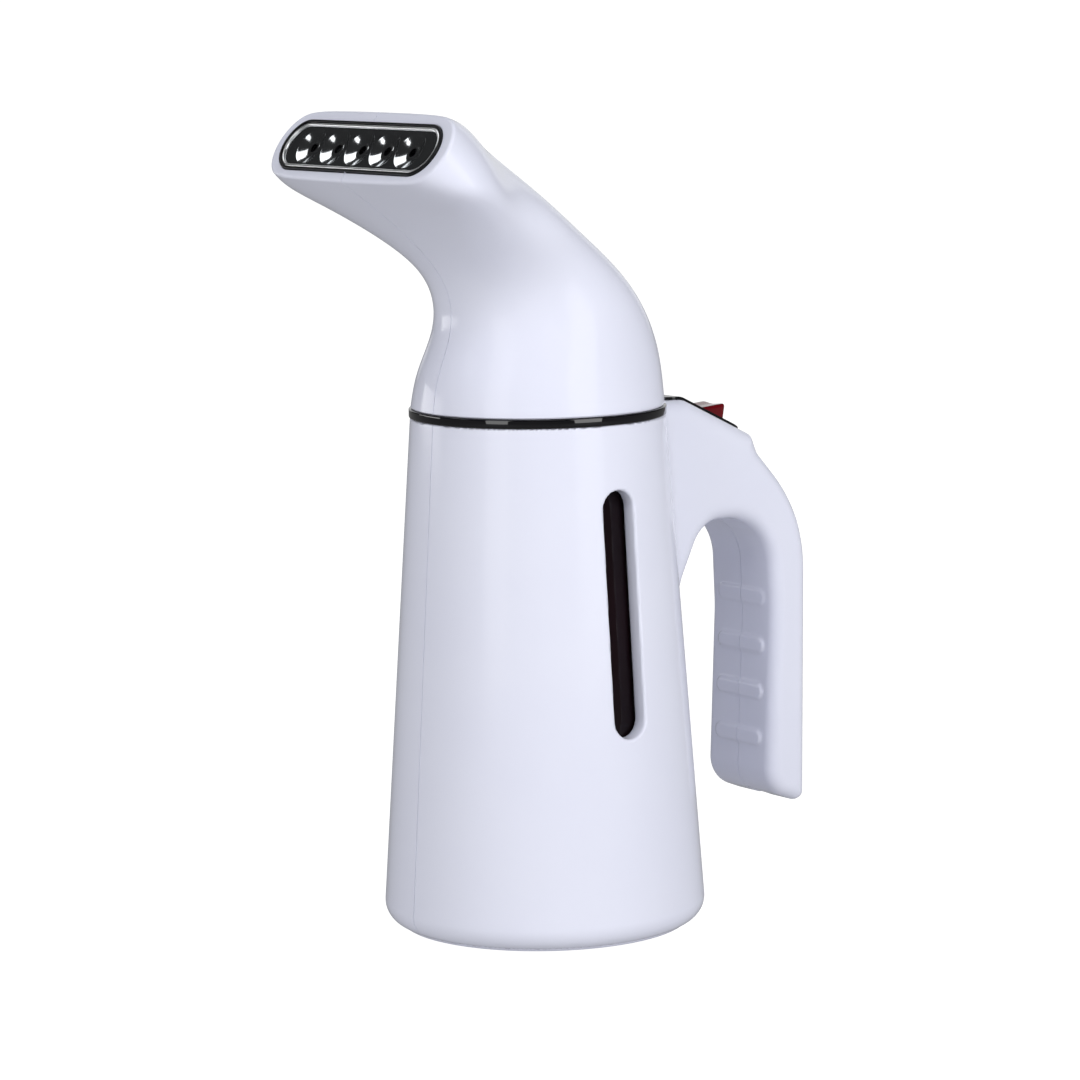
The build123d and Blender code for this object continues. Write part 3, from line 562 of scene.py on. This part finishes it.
def add_plate():
    """Steam plate: one ring of quads round each hole, met at the edges of the holes' shares."""
    turns = np.linspace(0, 2 * pi, 144, endpoint=False)
    corner = np.arctan2(PLATE_HEIGHT, HOLE_PITCH / 2)
    for angle in (corner, pi - corner, pi + corner, 2 * pi - corner):
        turns[np.argmin(np.abs(turns - angle))] = angle
    steps = np.concatenate([np.linspace(0, 0.8, 34), np.linspace(0.8, 1, 18)[1:]])
    points, faces = [], []
    for k in range(HOLE_COUNT):
        middle = HOLE_PITCH * (k - (HOLE_COUNT - 1) / 2)
        low = middle - HOLE_PITCH / 2 if k > 0 else None
        high = middle + HOLE_PITCH / 2 if k < HOLE_COUNT - 1 else None
        first = len(points)
        reach = np.array([cell_reach(low, high, middle, t) for t in turns])
        for step in steps:
            radius = HOLE_RADIUS + (reach - HOLE_RADIUS) * step
            x, v = middle + radius * np.cos(turns), radius * np.sin(turns)
            points += np.column_stack([x, v, plate_height(x, v)]).tolist()
        count = len(turns)
        for i, j in product(range(len(steps) - 1), range(count)):
            a, b = first + i * count + j, first + i * count + (j + 1) % count
            faces.append((a, a + count, b + count, b))
        x, v = middle + HOLE_RADIUS * np.cos(turns), HOLE_RADIUS * np.sin(turns)
        well = len(points)
        points += np.column_stack([x, v, np.full(count, PLATE_BACK)]).tolist()
        for j in range(count):
            faces.append((first + j, first + (j + 1) % count, well + (j + 1) % count, well + j))
    flat = np.array(points)
    placed = on_nozzle(flat[:, :2], 0) + flat[:, 2:] * NOZZLE_OUT
    piece = add_piece("steam_plate", placed, faces, "head", "plate_chrome", ["nozzle_plate"], radians(60))
    mesh = bmesh.new()
    mesh.from_mesh(piece.data)
    bmesh.ops.remove_doubles(mesh, verts=mesh.verts, dist=WELD)
    edges = [e for e in mesh.edges if e.is_boundary]
    made = bmesh.ops.extrude_edge_only(mesh, edges=edges)["geom"]
    for vert in [g for g in made if isinstance(g, bmesh.types.BMVert)]:
        height = (np.array(vert.co) / MM - NOZZLE_MIDDLE) @ NOZZLE_OUT
        vert.co += Vector(NOZZLE_OUT * (PLATE_BACK - height) * MM)
    bmesh.ops.remove_doubles(mesh, verts=mesh.verts, dist=WELD)
    bmesh.ops.recalc_face_normals(mesh, faces=mesh.faces)
    mesh.to_mesh(piece.data)
    mesh.free()


# ---------------------------------------------------------------- body, as a signed distance
BASE_RADIUS = 50.0
RING_HEIGHT = 2.8
RING_BOTTOM = box_mm("collar_ring")[1][2] - RING_HEIGHT
TAPER = (BASE_RADIUS - 38.85) / (RING_BOTTOM + RING_HEIGHT)
SKIN_LOW = 0.5
BASE_FILLET = 7.0
SKIN_INSET = 0.06                     # keeps the skin inside the faceted CAD cone
GRIP_HALF_WIDTH = 16.8
GRIP_ROUND, SHOULDER_ROUND = 4.2, 6.2
ROUND_START, ROUND_RUN = 118, 24      # heights over which the grip's rounding becomes the shoulder's
HANDLE_BLEND = 4.0                    # smooth join of cone and handle
SHOULDER_FRONT, SHOULDER_BACK = (47.1, 158.9), (73.2, 146.2)
# Side outline of shoulder, grip and finger gap as (y, z, corner radius)
HANDLE_OUTLINE = (
    (30.0, 158.9, 0.0),
    (*SHOULDER_FRONT, 6.0),
    (*SHOULDER_BACK, 2.5),
    (75.4, 140.6, 3.0),
    (93.5, 119.6, 48.0),
    (92.2, 26.0, 3.0),
    (77.0, 32.0, 10.0),
    (79.7, 88.0, 60.0),
    (78.5, 120.6, 17.0),
    (52.2, 120.6, 11.5),
    (34.6, 84.0, 0.0),
)
PILL_HEIGHTS = (93.4, 77.9, 63.2, 48.4)
PILL_STRAIGHT = 8.9                   # half length of a finger bar without its round ends
PILL_RADIUS = 2.3
PILL_HALF_DEPTH, PILL_SET = 2.3, 1.5  # the bar's middle is set this far behind the grip's face
PILL_EDGE, PILL_BLEND = 0.6, 1.1
FACE_FOOT = (77.0, 32.0)              # the grip's finger face starts here, as (y, z)
FACE_RISE, FACE_LEAN = 56.0, 2.7
SLOT_LOW, SLOT_HIGH, SLOT_RADIUS, SLOT_DEPTH = 62.8, 137.4, 5.6, 5.6
SCREW_PLACES = ((88.0, 102.0), (88.0, 74.0), (68.0, 130.0))
SCREW_BOSS_RADIUS, SCREW_BOSS_REACH = 3.1, 15
SCREW_BORE_RADIUS, SCREW_BORE_START = 2.6, 13.6
SLOT_RIM = 1.6                        # wall kept round the slot
BASE_OPENING_RADIUS, BASE_OPENING_TOP = 44.7, 7.0
NECK_LOW = 150
RING_SEAT_RADIUS = 39.5
PANEL_MIDDLE = 57.0
PANEL_CORE = (5.25, 10.85)            # half sizes of the panel's recess inside its round corners
PANEL_CORNER, PANEL_DEPTH = 5.0, 0.65
WELL_HALF = (8.8, 13.1)               # the switch's well, across and along the shoulder
WELL_DEPTH, WELL_TOP = 19.5, 6
CORD_Y = 86.0
CORD_RADIUS, CORD_LOW, CORD_HIGH = 3.7, 10, 40
GLAND_RADIUS, GLAND_LOW, GLAND_HIGH = 5.3, 34.9, 55
PANEL_LOW = 135                       # the recess is above this height
SLOT_FROM = 20                        # the slot is cut through X above this
SEAT_EASE, SLOT_EASE, BORE_EASE, PANEL_EASE = 0.3, 0.9, 0.4, 0.3
OUTSIDE = 9.0                         # a distance that cuts nothing away
SHOULDER_SLOPE = (SHOULDER_FRONT[1] - SHOULDER_BACK[1]) / (SHOULDER_BACK[0] - SHOULDER_FRONT[0])
SHOULDER_OUT = np.array((SHOULDER_SLOPE, 1.0)) / np.hypot(SHOULDER_SLOPE, 1.0)
SHOULDER_DOWN = np.array((SHOULDER_OUT[1], -SHOULDER_OUT[0]))
SWITCH_Y = 57.5
SWITCH_FOOT = np.array((SWITCH_Y, SHOULDER_FRONT[1] - SHOULDER_SLOPE * (SWITCH_Y - SHOULDER_FRONT[0])))
TABLE_STEP = 0.25
TABLE_LOW = np.array((22.0, 18.0))
TABLE_SIZE = (310, 590)
NET_STEP = 0.9
NET_LOW = (-50.4 - NET_STEP, -50.4 - NET_STEP, -1.0)
NET_HIGH = (51.4, 95.0, 160.5)
SETTLE_ROUNDS = 5
SKIN_NEAR = 0.15                      # a border point this near the outer skin is part of its edge


def rounded_outline(corners):
    """Polyline round (y, z, radius) corners, each turned with its own arc."""
    points = []
    places = np.array([c[:2] for c in corners])
    for k, (_, _, radius) in enumerate(corners):
        here = places[k]
        if radius == 0:
            points.append(here)
            continue
        back = places[k - 1] - here
        ahead = places[(k + 1) % len(corners)] - here
        back, ahead = back / np.linalg.norm(back), ahead / np.linalg.norm(ahead)
        half = np.arccos(np.clip(back @ ahead, -1, 1)) / 2
        reach = radius / np.tan(half)
        centre = here + (back + ahead) / np.linalg.norm(back + ahead) * radius / np.sin(half)
        first, last = here + back * reach - centre, here + ahead * reach - centre
        opening = pi - 2 * half
        for t in np.linspace(0, 1, 24):
            mix = (np.sin((1 - t) * opening) * first + np.sin(t * opening) * last) / np.sin(opening)
            points.append(centre + mix)
    return np.array(points)


def outline_table():
    """Signed distance to the handle's side outline on a fine grid of (y, z)."""
    outline = rounded_outline(HANDLE_OUTLINE)
    y = TABLE_LOW[0] + TABLE_STEP * np.arange(TABLE_SIZE[0])[:, None]
    z = TABLE_LOW[1] + TABLE_STEP * np.arange(TABLE_SIZE[1])[None, :]
    nearest = np.full(TABLE_SIZE, 1e9)
    inside = np.zeros(TABLE_SIZE, bool)
    for (y0, z0), (y1, z1) in zip(outline, np.roll(outline, -1, axis=0)):
        dy, dz = y1 - y0, z1 - z0
        long = dy * dy + dz * dz
        if long < 1e-12:
            continue
        t = np.clip(((y - y0) * dy + (z - z0) * dz) / long, 0, 1)
        nearest = np.minimum(nearest, (y - y0 - t * dy) ** 2 + (z - z0 - t * dz) ** 2)
        if z0 != z1:
            crosses = (z0 > z) != (z1 > z)
            inside ^= crosses & (y < y0 + (z - z0) / dz * dy)
    return np.where(inside, -1, 1) * np.sqrt(nearest)


handle_table = outline_table()


def handle_side(y, z):
    """Signed distance to the handle's side outline at any (y, z)."""
    i = np.clip((y - TABLE_LOW[0]) / TABLE_STEP, 0, TABLE_SIZE[0] - 1.001)
    j = np.clip((z - TABLE_LOW[1]) / TABLE_STEP, 0, TABLE_SIZE[1] - 1.001)
    i0, j0 = i.astype(int), j.astype(int)
    u, v = i - i0, j - j0
    t = handle_table
    low = t[i0, j0] * (1 - u) + t[i0 + 1, j0] * u
    high = t[i0, j0 + 1] * (1 - u) + t[i0 + 1, j0 + 1] * u
    beyond = np.maximum(TABLE_LOW[0] - y, 0) + np.maximum(TABLE_LOW[1] - z, 0)
    return low * (1 - v) + high * v + beyond


def smooth_min(a, b, reach):
    """Union of two solids with their inner corner filled."""
    overlap = np.maximum(reach - np.abs(a - b), 0) / reach
    return np.minimum(a, b) - overlap * overlap * reach / 4


def smooth_max(a, b, reach):
    """Meeting of two solids with their outer corner eased."""
    return -smooth_min(-a, -b, reach)


def round_max(a, b, radius):
    """Meeting of two solids with their common edge rounded."""
    inner = np.minimum(np.maximum(a + radius, b + radius), 0)
    return inner + np.hypot(np.maximum(a + radius, 0), np.maximum(b + radius, 0)) - radius


def slot_side(y, z):
    """Signed distance to the outline of the window's slot."""
    middle, half = (SLOT_LOW + SLOT_HIGH) / 2, (SLOT_HIGH - SLOT_LOW) / 2 - SLOT_RADIUS
    return np.hypot(y, np.maximum(np.abs(z - middle) - half, 0)) - SLOT_RADIUS


def body_solid(x, y, z):
    """The body without its hollow: cone, handle and finger bars."""
    radius = np.hypot(x, y)
    side = (radius - BASE_RADIUS + TAPER * z) / np.hypot(1, TAPER)
    cone = round_max(side + SKIN_INSET, SKIN_LOW - z, BASE_FILLET)
    edge = GRIP_ROUND + (SHOULDER_ROUND - GRIP_ROUND) * np.clip((z - ROUND_START) / ROUND_RUN, 0, 1)
    handle = round_max(handle_side(y, z), np.abs(x) - GRIP_HALF_WIDTH, edge)
    skin = smooth_min(cone, handle, HANDLE_BLEND)
    for height in PILL_HEIGHTS:
        face = FACE_FOOT[0] + (height - FACE_FOOT[1]) / FACE_RISE * FACE_LEAN
        bar = np.hypot(np.maximum(np.abs(x) - PILL_STRAIGHT, 0), z - height) - PILL_RADIUS
        bar = round_max(bar, np.abs(y - face - PILL_SET) - PILL_HALF_DEPTH, PILL_EDGE)
        skin = smooth_min(skin, bar, PILL_BLEND)
    return skin, side, radius


def round_bore(across, along, radius):
    """Signed distance to a round bore, from the two distances off its axis."""
    return np.hypot(across, along) - radius


def switch_cut(x, y, z):
    """Recess for the panel and the well under it. Both follow the shoulder's slope."""
    lower_y, lower_z = y + SHOULDER_OUT[0] * PANEL_DEPTH, z + SHOULDER_OUT[1] * PANEL_DEPTH
    beyond_x = np.maximum(np.abs(x) - PANEL_CORE[0], 0)
    beyond_y = np.maximum(np.abs(y - PANEL_MIDDLE) - PANEL_CORE[1], 0)
    plan = np.hypot(beyond_x, beyond_y) - PANEL_CORNER
    recess = np.maximum(plan, -handle_side(lower_y, lower_z))
    down = (y - SWITCH_FOOT[0]) * SHOULDER_OUT[1] - (z - SWITCH_FOOT[1]) * SHOULDER_OUT[0]
    out = (y - SWITCH_FOOT[0]) * SHOULDER_OUT[0] + (z - SWITCH_FOOT[1]) * SHOULDER_OUT[1]
    sides = np.maximum(np.abs(x) - WELL_HALF[0], np.abs(down) - WELL_HALF[1])
    well = np.maximum(sides, np.maximum(-out - WELL_DEPTH, out - WELL_TOP))
    return np.where(z > PANEL_LOW, recess, OUTSIDE), well


def body_field(x, y, z):
    """Signed distance to the body's shell."""
    skin, side, radius = body_solid(x, y, z)
    hollow = skin + SHELL_WALL
    rim = np.maximum(slot_side(y, z) - SLOT_RIM, -(side + SLOT_DEPTH))
    rim = np.where(x > 0, rim, OUTSIDE)
    hollow = np.maximum(hollow, -rim)
    for place_y, place_z in SCREW_PLACES:
        boss = round_bore(y - place_y, z - place_z, SCREW_BOSS_RADIUS)
        hollow = np.maximum(hollow, -np.maximum(boss, np.abs(x) - SCREW_BOSS_REACH))
    hollow = np.minimum(hollow, np.maximum(radius - BASE_OPENING_RADIUS, z - BASE_OPENING_TOP))
    hollow = np.minimum(hollow, np.maximum(side + SHELL_WALL, NECK_LOW - z))
    shell = np.maximum(skin, -hollow)
    shell = smooth_max(shell, -np.maximum(radius - RING_SEAT_RADIUS, RING_BOTTOM - z), SEAT_EASE)
    shell = smooth_max(shell, -np.maximum(slot_side(y, z), SLOT_FROM - x), SLOT_EASE)
    for place_y, place_z in SCREW_PLACES:
        bore = round_bore(y - place_y, z - place_z, SCREW_BORE_RADIUS)
        shell = smooth_max(shell, -np.maximum(bore, x + SCREW_BORE_START), BORE_EASE)
    recess, well = switch_cut(x, y, z)
    shell = smooth_max(shell, -recess, PANEL_EASE)
    shell = np.maximum(shell, -well)
    cord = np.maximum(round_bore(x, y - CORD_Y, CORD_RADIUS), np.maximum(z - CORD_HIGH, CORD_LOW - z))
    gland = np.maximum(round_bore(x, y - CORD_Y, GLAND_RADIUS), np.maximum(z - GLAND_HIGH, GLAND_LOW - z))
    return np.maximum(shell, -np.minimum(cord, gland))


def slope(field, points, step=0.2):
    """Gradient of a field at points."""
    parts = []
    for axis in range(3):
        shift = np.zeros(3)
        shift[axis] = step
        ahead, behind = points + shift, points - shift
        parts.append((field(*ahead.T) - field(*behind.T)) / (2 * step))
    return np.stack(parts, axis=1)


def surface_net(field, low, high, step):
    """Quads round a field's zero level: one point in each cell that it passes through."""
    axes = [np.arange(low[i], high[i] + step, step) for i in range(3)]
    x, y, z = np.meshgrid(*axes, indexing="ij", sparse=True)
    x, y, z = np.broadcast_arrays(x, y, z)
    inside = field(x, y, z) < 0
    size = [len(a) - 1 for a in axes]
    total = np.zeros(size, np.int8)
    for i, j, k in product((0, 1), repeat=3):
        total += inside[i:i + size[0], j:j + size[1], k:k + size[2]]
    mixed = (total > 0) & (total < 8)
    index = np.full(size, -1)
    index[mixed] = np.arange(mixed.sum())
    points = np.argwhere(mixed) * step + np.array([a[0] for a in axes]) + step / 2
    quads = []
    for axis in range(3):
        first = np.take(inside, range(0, inside.shape[axis] - 1), axis)
        second = np.take(inside, range(1, inside.shape[axis]), axis)
        crossing = np.argwhere(first != second)
        others = [a for a in range(3) if a != axis]
        keep = np.all([(crossing[:, a] > 0) & (crossing[:, a] < size[a]) for a in others], axis=0)
        crossing = crossing[keep]
        corners = []
        for du, dv in ((-1, -1), (0, -1), (0, 0), (-1, 0)):
            cell = crossing.copy()
            cell[:, others[0]] += du
            cell[:, others[1]] += dv
            corners.append(index[tuple(cell.T)])
        quad = np.stack(corners, axis=1)
        forward = first[tuple(crossing.T)] != (axis == 1)
        quads.append(np.where(forward[:, None], quad, quad[:, ::-1]))
    return points, np.vstack(quads)


def settle(field, points, quads, rounds):
    """Moves points onto the surface, and evens out their spacing along it."""
    ends = np.vstack([quads[:, [i, (i + 1) % 4]] for i in range(4)])
    count = np.bincount(ends[:, 0], minlength=len(points)) + np.bincount(ends[:, 1], minlength=len(points))
    for turn in range(rounds + 2):
        gradient = slope(field, points)
        size = np.maximum(np.sum(gradient**2, axis=1), 0.25)
        points = points - gradient * np.clip(field(*points.T) / size, -0.5, 0.5)[:, None]
        if turn >= rounds:
            continue
        total = np.zeros_like(points)
        for axis in range(3):
            total[:, axis] += np.bincount(ends[:, 0], points[ends[:, 1], axis], len(points))
            total[:, axis] += np.bincount(ends[:, 1], points[ends[:, 0], axis], len(points))
        move = total / count[:, None] - points
        normal = gradient / np.maximum(np.linalg.norm(gradient, axis=1), 1e-6)[:, None]
        points = points + 0.5 * (move - normal * np.sum(move * normal, axis=1)[:, None])
    return points


def parted(source, side):
    """One half of a mesh, closed at the parting plane, with its skin's edge sunk as a fine V."""
    mesh = bmesh.new()
    mesh.from_mesh(source)
    everything = list(mesh.verts) + list(mesh.edges) + list(mesh.faces)
    bmesh.ops.bisect_plane(mesh, geom=everything, dist=1e-6, plane_co=(0, 0, 0),
                           plane_no=(side, 0, 0), clear_inner=True)
    everything = list(mesh.verts) + list(mesh.edges) + list(mesh.faces)
    bmesh.ops.bisect_plane(mesh, geom=everything, dist=1e-6, plane_co=(side * SEAM_WIDTH * MM, 0, 0),
                           plane_no=(side, 0, 0))
    edges = [e for e in mesh.edges if e.is_boundary]
    border = list({v for e in edges for v in e.verts})
    bmesh.ops.triangle_fill(mesh, use_beauty=True, edges=edges, normal=(-side, 0, 0))
    places = np.array([v.co for v in border]) / MM
    skin = body_solid(*places.T)[0]
    normal = slope(lambda x, y, z: body_solid(x, y, z)[0], places)
    for vert, depth, out in zip(border, skin, normal):
        vert.co.x = side * PARTING_GAP * MM
        if abs(depth) < SKIN_NEAR:
            vert.co -= Vector(out * (0, 1, 1)) * SEAM_DEPTH * MM
    bmesh.ops.recalc_face_normals(mesh, faces=mesh.faces)
    return mesh


def add_body():
    """Both halves of the body, cut from one smooth surface."""
    points, quads = surface_net(body_field, NET_LOW, NET_HIGH, NET_STEP)
    points = settle(body_field, points, quads, SETTLE_ROUNDS)
    whole = bpy.data.meshes.new("whole")
    whole.from_pydata((points * MM).tolist(), [], quads.tolist())
    for side, name in ((1, "right"), (-1, "left")):
        half = parted(whole, side)
        mesh = bpy.data.meshes.new(f"body_skin_{name}")
        half.to_mesh(mesh)
        half.free()
        mesh.polygons.foreach_set("use_smooth", [True] * len(mesh.polygons))
        set_true_normals(mesh)
        mesh.materials.append(materials["shell_white"])
        piece = bpy.data.objects.new(f"body_skin_{name}", mesh)
        scene.collection.objects.link(piece)
        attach(piece, "body")
        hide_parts(f"body_shell_{name}")
    bpy.data.meshes.remove(whole)


def set_true_normals(mesh):
    """Shades the surface by the field it came from, and the parting plane and its V by their own faces."""
    places = np.zeros(len(mesh.vertices) * 3)
    mesh.vertices.foreach_get("co", places)
    normal = slope(body_field, places.reshape(-1, 3) / MM)
    normal /= np.maximum(np.linalg.norm(normal, axis=1), 1e-6)[:, None]
    corner = np.zeros(len(mesh.loops), int)
    mesh.loops.foreach_get("vertex_index", corner)
    middle = np.zeros(len(mesh.polygons) * 3)
    facing = np.zeros(len(mesh.polygons) * 3)
    loops = np.zeros(len(mesh.polygons), int)
    mesh.polygons.foreach_get("center", middle)
    mesh.polygons.foreach_get("normal", facing)
    mesh.polygons.foreach_get("loop_total", loops)
    beside = np.repeat(np.abs(middle.reshape(-1, 3)[:, 0]) < SEAM_WIDTH * MM, loops)
    own = np.repeat(facing.reshape(-1, 3), loops, axis=0)
    mesh.normals_split_custom_set(np.where(beside[:, None], own, normal[corner]).tolist())


# ---------------------------------------------------------------- ring
BAND_LOW, BAND_HIGH = RING_BOTTOM + 0.05, RING_BOTTOM + 2.78
BAND_OUTER, BAND_INNER = 39.34, 38.6
BAND_EDGE = 0.4


def add_ring_band():
    """Flat-faced gloss band over the ring's bead, with softened edges."""
    profile = [(BAND_INNER, BAND_LOW)]
    for turn in np.linspace(0, pi / 2, 7):
        profile.append((BAND_OUTER - BAND_EDGE * (1 - sin(turn)), BAND_LOW + BAND_EDGE * (1 - cos(turn))))
    for turn in np.linspace(0, pi / 2, 7):
        profile.append((BAND_OUTER - BAND_EDGE * (1 - cos(turn)), BAND_HIGH - BAND_EDGE * (1 - sin(turn))))
    profile.append((BAND_INNER, BAND_HIGH))
    turns = np.linspace(0, 2 * pi, 256, endpoint=False)
    points = [(r * cos(t), r * sin(t), z) for r, z in profile for t in turns]
    faces = ring_faces(len(profile), len(turns))
    piece = add_piece("ring_band", points, faces, "body", "black_gloss")
    tidy_normals(piece)


# ---------------------------------------------------------------- rocker
ROCKER_PIVOT = np.array((56.625, 152.041))
ROCKER_LEAN = radians(10)
ROCKER_HALF_WIDTH = 5.6
ROCKER_FRONT, ROCKER_REAR = -11.0, 11.1
ROCKER_END_SLOPE = 0.10
ROCKER_APEX = 2.85
ROCKER_FRONT_SLOPE, ROCKER_REAR_SLOPE = 0.176, 0.364
ROCKER_LOW = -2.0
ROCKER_ROUND = 0.9
ROCKER_HOLLOW = 0.4
BEZEL_INNER = (5.9, 12.1)
BEZEL_OUTER = (7.75, 12.15)
BEZEL_END = (BEZEL_OUTER[1] - BEZEL_INNER[1]) / (BEZEL_OUTER[0] - BEZEL_INNER[0])
BEZEL_SEAT = 3.0                      # the bezel's plane over the rocker's pivot
BEZEL_TOP, BEZEL_BOTTOM = -0.35, -2.0
BEZEL_EDGE, BEZEL_CORNER = 0.3, 0.8


def rocker_top(y):
    """Height of the rocker's top: flat with the panel in front, and rising behind the pivot."""
    return ROCKER_APEX + smooth_max(-ROCKER_FRONT_SLOPE * y, ROCKER_REAR_SLOPE * y, 0.8)


def add_rocker():
    """Rocker with rounded edges and a thumb hollow, in the frame of its pivot."""
    stations = [(ROCKER_FRONT + ROCKER_ROUND * (1 - cos(t)), ROCKER_ROUND * (1 - sin(t)))
                for t in np.linspace(0, pi / 2, 7)]
    stations += [(y, 0.0) for y in np.linspace(ROCKER_FRONT, ROCKER_REAR, 40)[3:-3]]
    stations += [(ROCKER_REAR - ROCKER_ROUND * (1 - cos(t)), ROCKER_ROUND * (1 - sin(t)))
                 for t in np.linspace(pi / 2, 0, 7)]
    ahead = cos(ROCKER_LEAN) * SHOULDER_DOWN + sin(ROCKER_LEAN) * SHOULDER_OUT
    above = cos(ROCKER_LEAN) * SHOULDER_OUT - sin(ROCKER_LEAN) * SHOULDER_DOWN
    rings = []
    for y, drop in stations:
        top, half = rocker_top(y) - drop, ROCKER_HALF_WIDTH - drop
        section = [(half, ROCKER_LOW)]
        for turn in np.linspace(0, pi / 2, 7):
            x, z = half - ROCKER_ROUND * (1 - cos(turn)), top - ROCKER_ROUND * (1 - sin(turn))
            section.append((x, z))
        flat = half - ROCKER_ROUND
        for x in np.linspace(flat, 0, 7)[1:]:
            section.append((x, top - ROCKER_HOLLOW * (1 - (x / flat) ** 2) ** 2))
        section += [(-x, z) for x, z in section[-2::-1]]
        lean = ROCKER_END_SLOPE * max(y, 0) / ROCKER_REAR
        rings.append([(x, *(ROCKER_PIVOT + (y + lean * (top - z)) * ahead + z * above)) for x, z in section])
    rows, columns = len(rings), len(rings[0])
    faces = [tuple(range(columns)), tuple(range((rows - 1) * columns, rows * columns))[::-1]]
    for i, j in product(range(rows - 1), range(columns)):
        a, b = i * columns + j, i * columns + (j + 1) % columns
        faces.append((a, a + columns, b + columns, b))
    piece = add_piece("rocker_cap", np.array(rings).reshape(-1, 3), faces, "rocker", "rocker_red",
                      ["switch_rocker"], radians(50))
    tidy_normals(piece)


def add_bezel():
    """Black frame that narrows the panel's opening to the rocker."""
    foot = ROCKER_PIVOT + BEZEL_SEAT * SHOULDER_OUT
    wide = BEZEL_OUTER[0] - BEZEL_INNER[0]
    profile = []
    for turn in np.linspace(0, pi / 2, 5):
        profile.append((BEZEL_EDGE * (1 - sin(turn)), BEZEL_TOP - BEZEL_EDGE * (1 - cos(turn))))
    profile += [(0.0, BEZEL_BOTTOM), (wide, BEZEL_BOTTOM), (wide, BEZEL_TOP)]
    rings = []
    for step, height in profile:
        half_x = BEZEL_INNER[0] + step - BEZEL_CORNER
        half_y = BEZEL_INNER[1] + step * BEZEL_END - BEZEL_CORNER
        loop = []
        for sx, sy, start in ((1, 1, 0), (-1, 1, 1), (-1, -1, 2), (1, -1, 3)):
            for turn in np.linspace(start * pi / 2, (start + 1) * pi / 2, 6):
                x, y = sx * half_x + BEZEL_CORNER * cos(turn), sy * half_y + BEZEL_CORNER * sin(turn)
                loop.append((x, *(foot + y * SHOULDER_DOWN + height * SHOULDER_OUT)))
        rings.append(loop)
    faces = ring_faces(len(rings), len(rings[0]))
    piece = add_piece("switch_bezel", np.array(rings).reshape(-1, 3), faces, "body", "black_gloss")
    tidy_normals(piece)


add_camera()
add_studio()
add_floor()
finish_cad_nodes()
add_head()
add_gasket()
add_plate()
add_rim()
add_body()
add_ring_band()
add_rocker()
add_bezel()
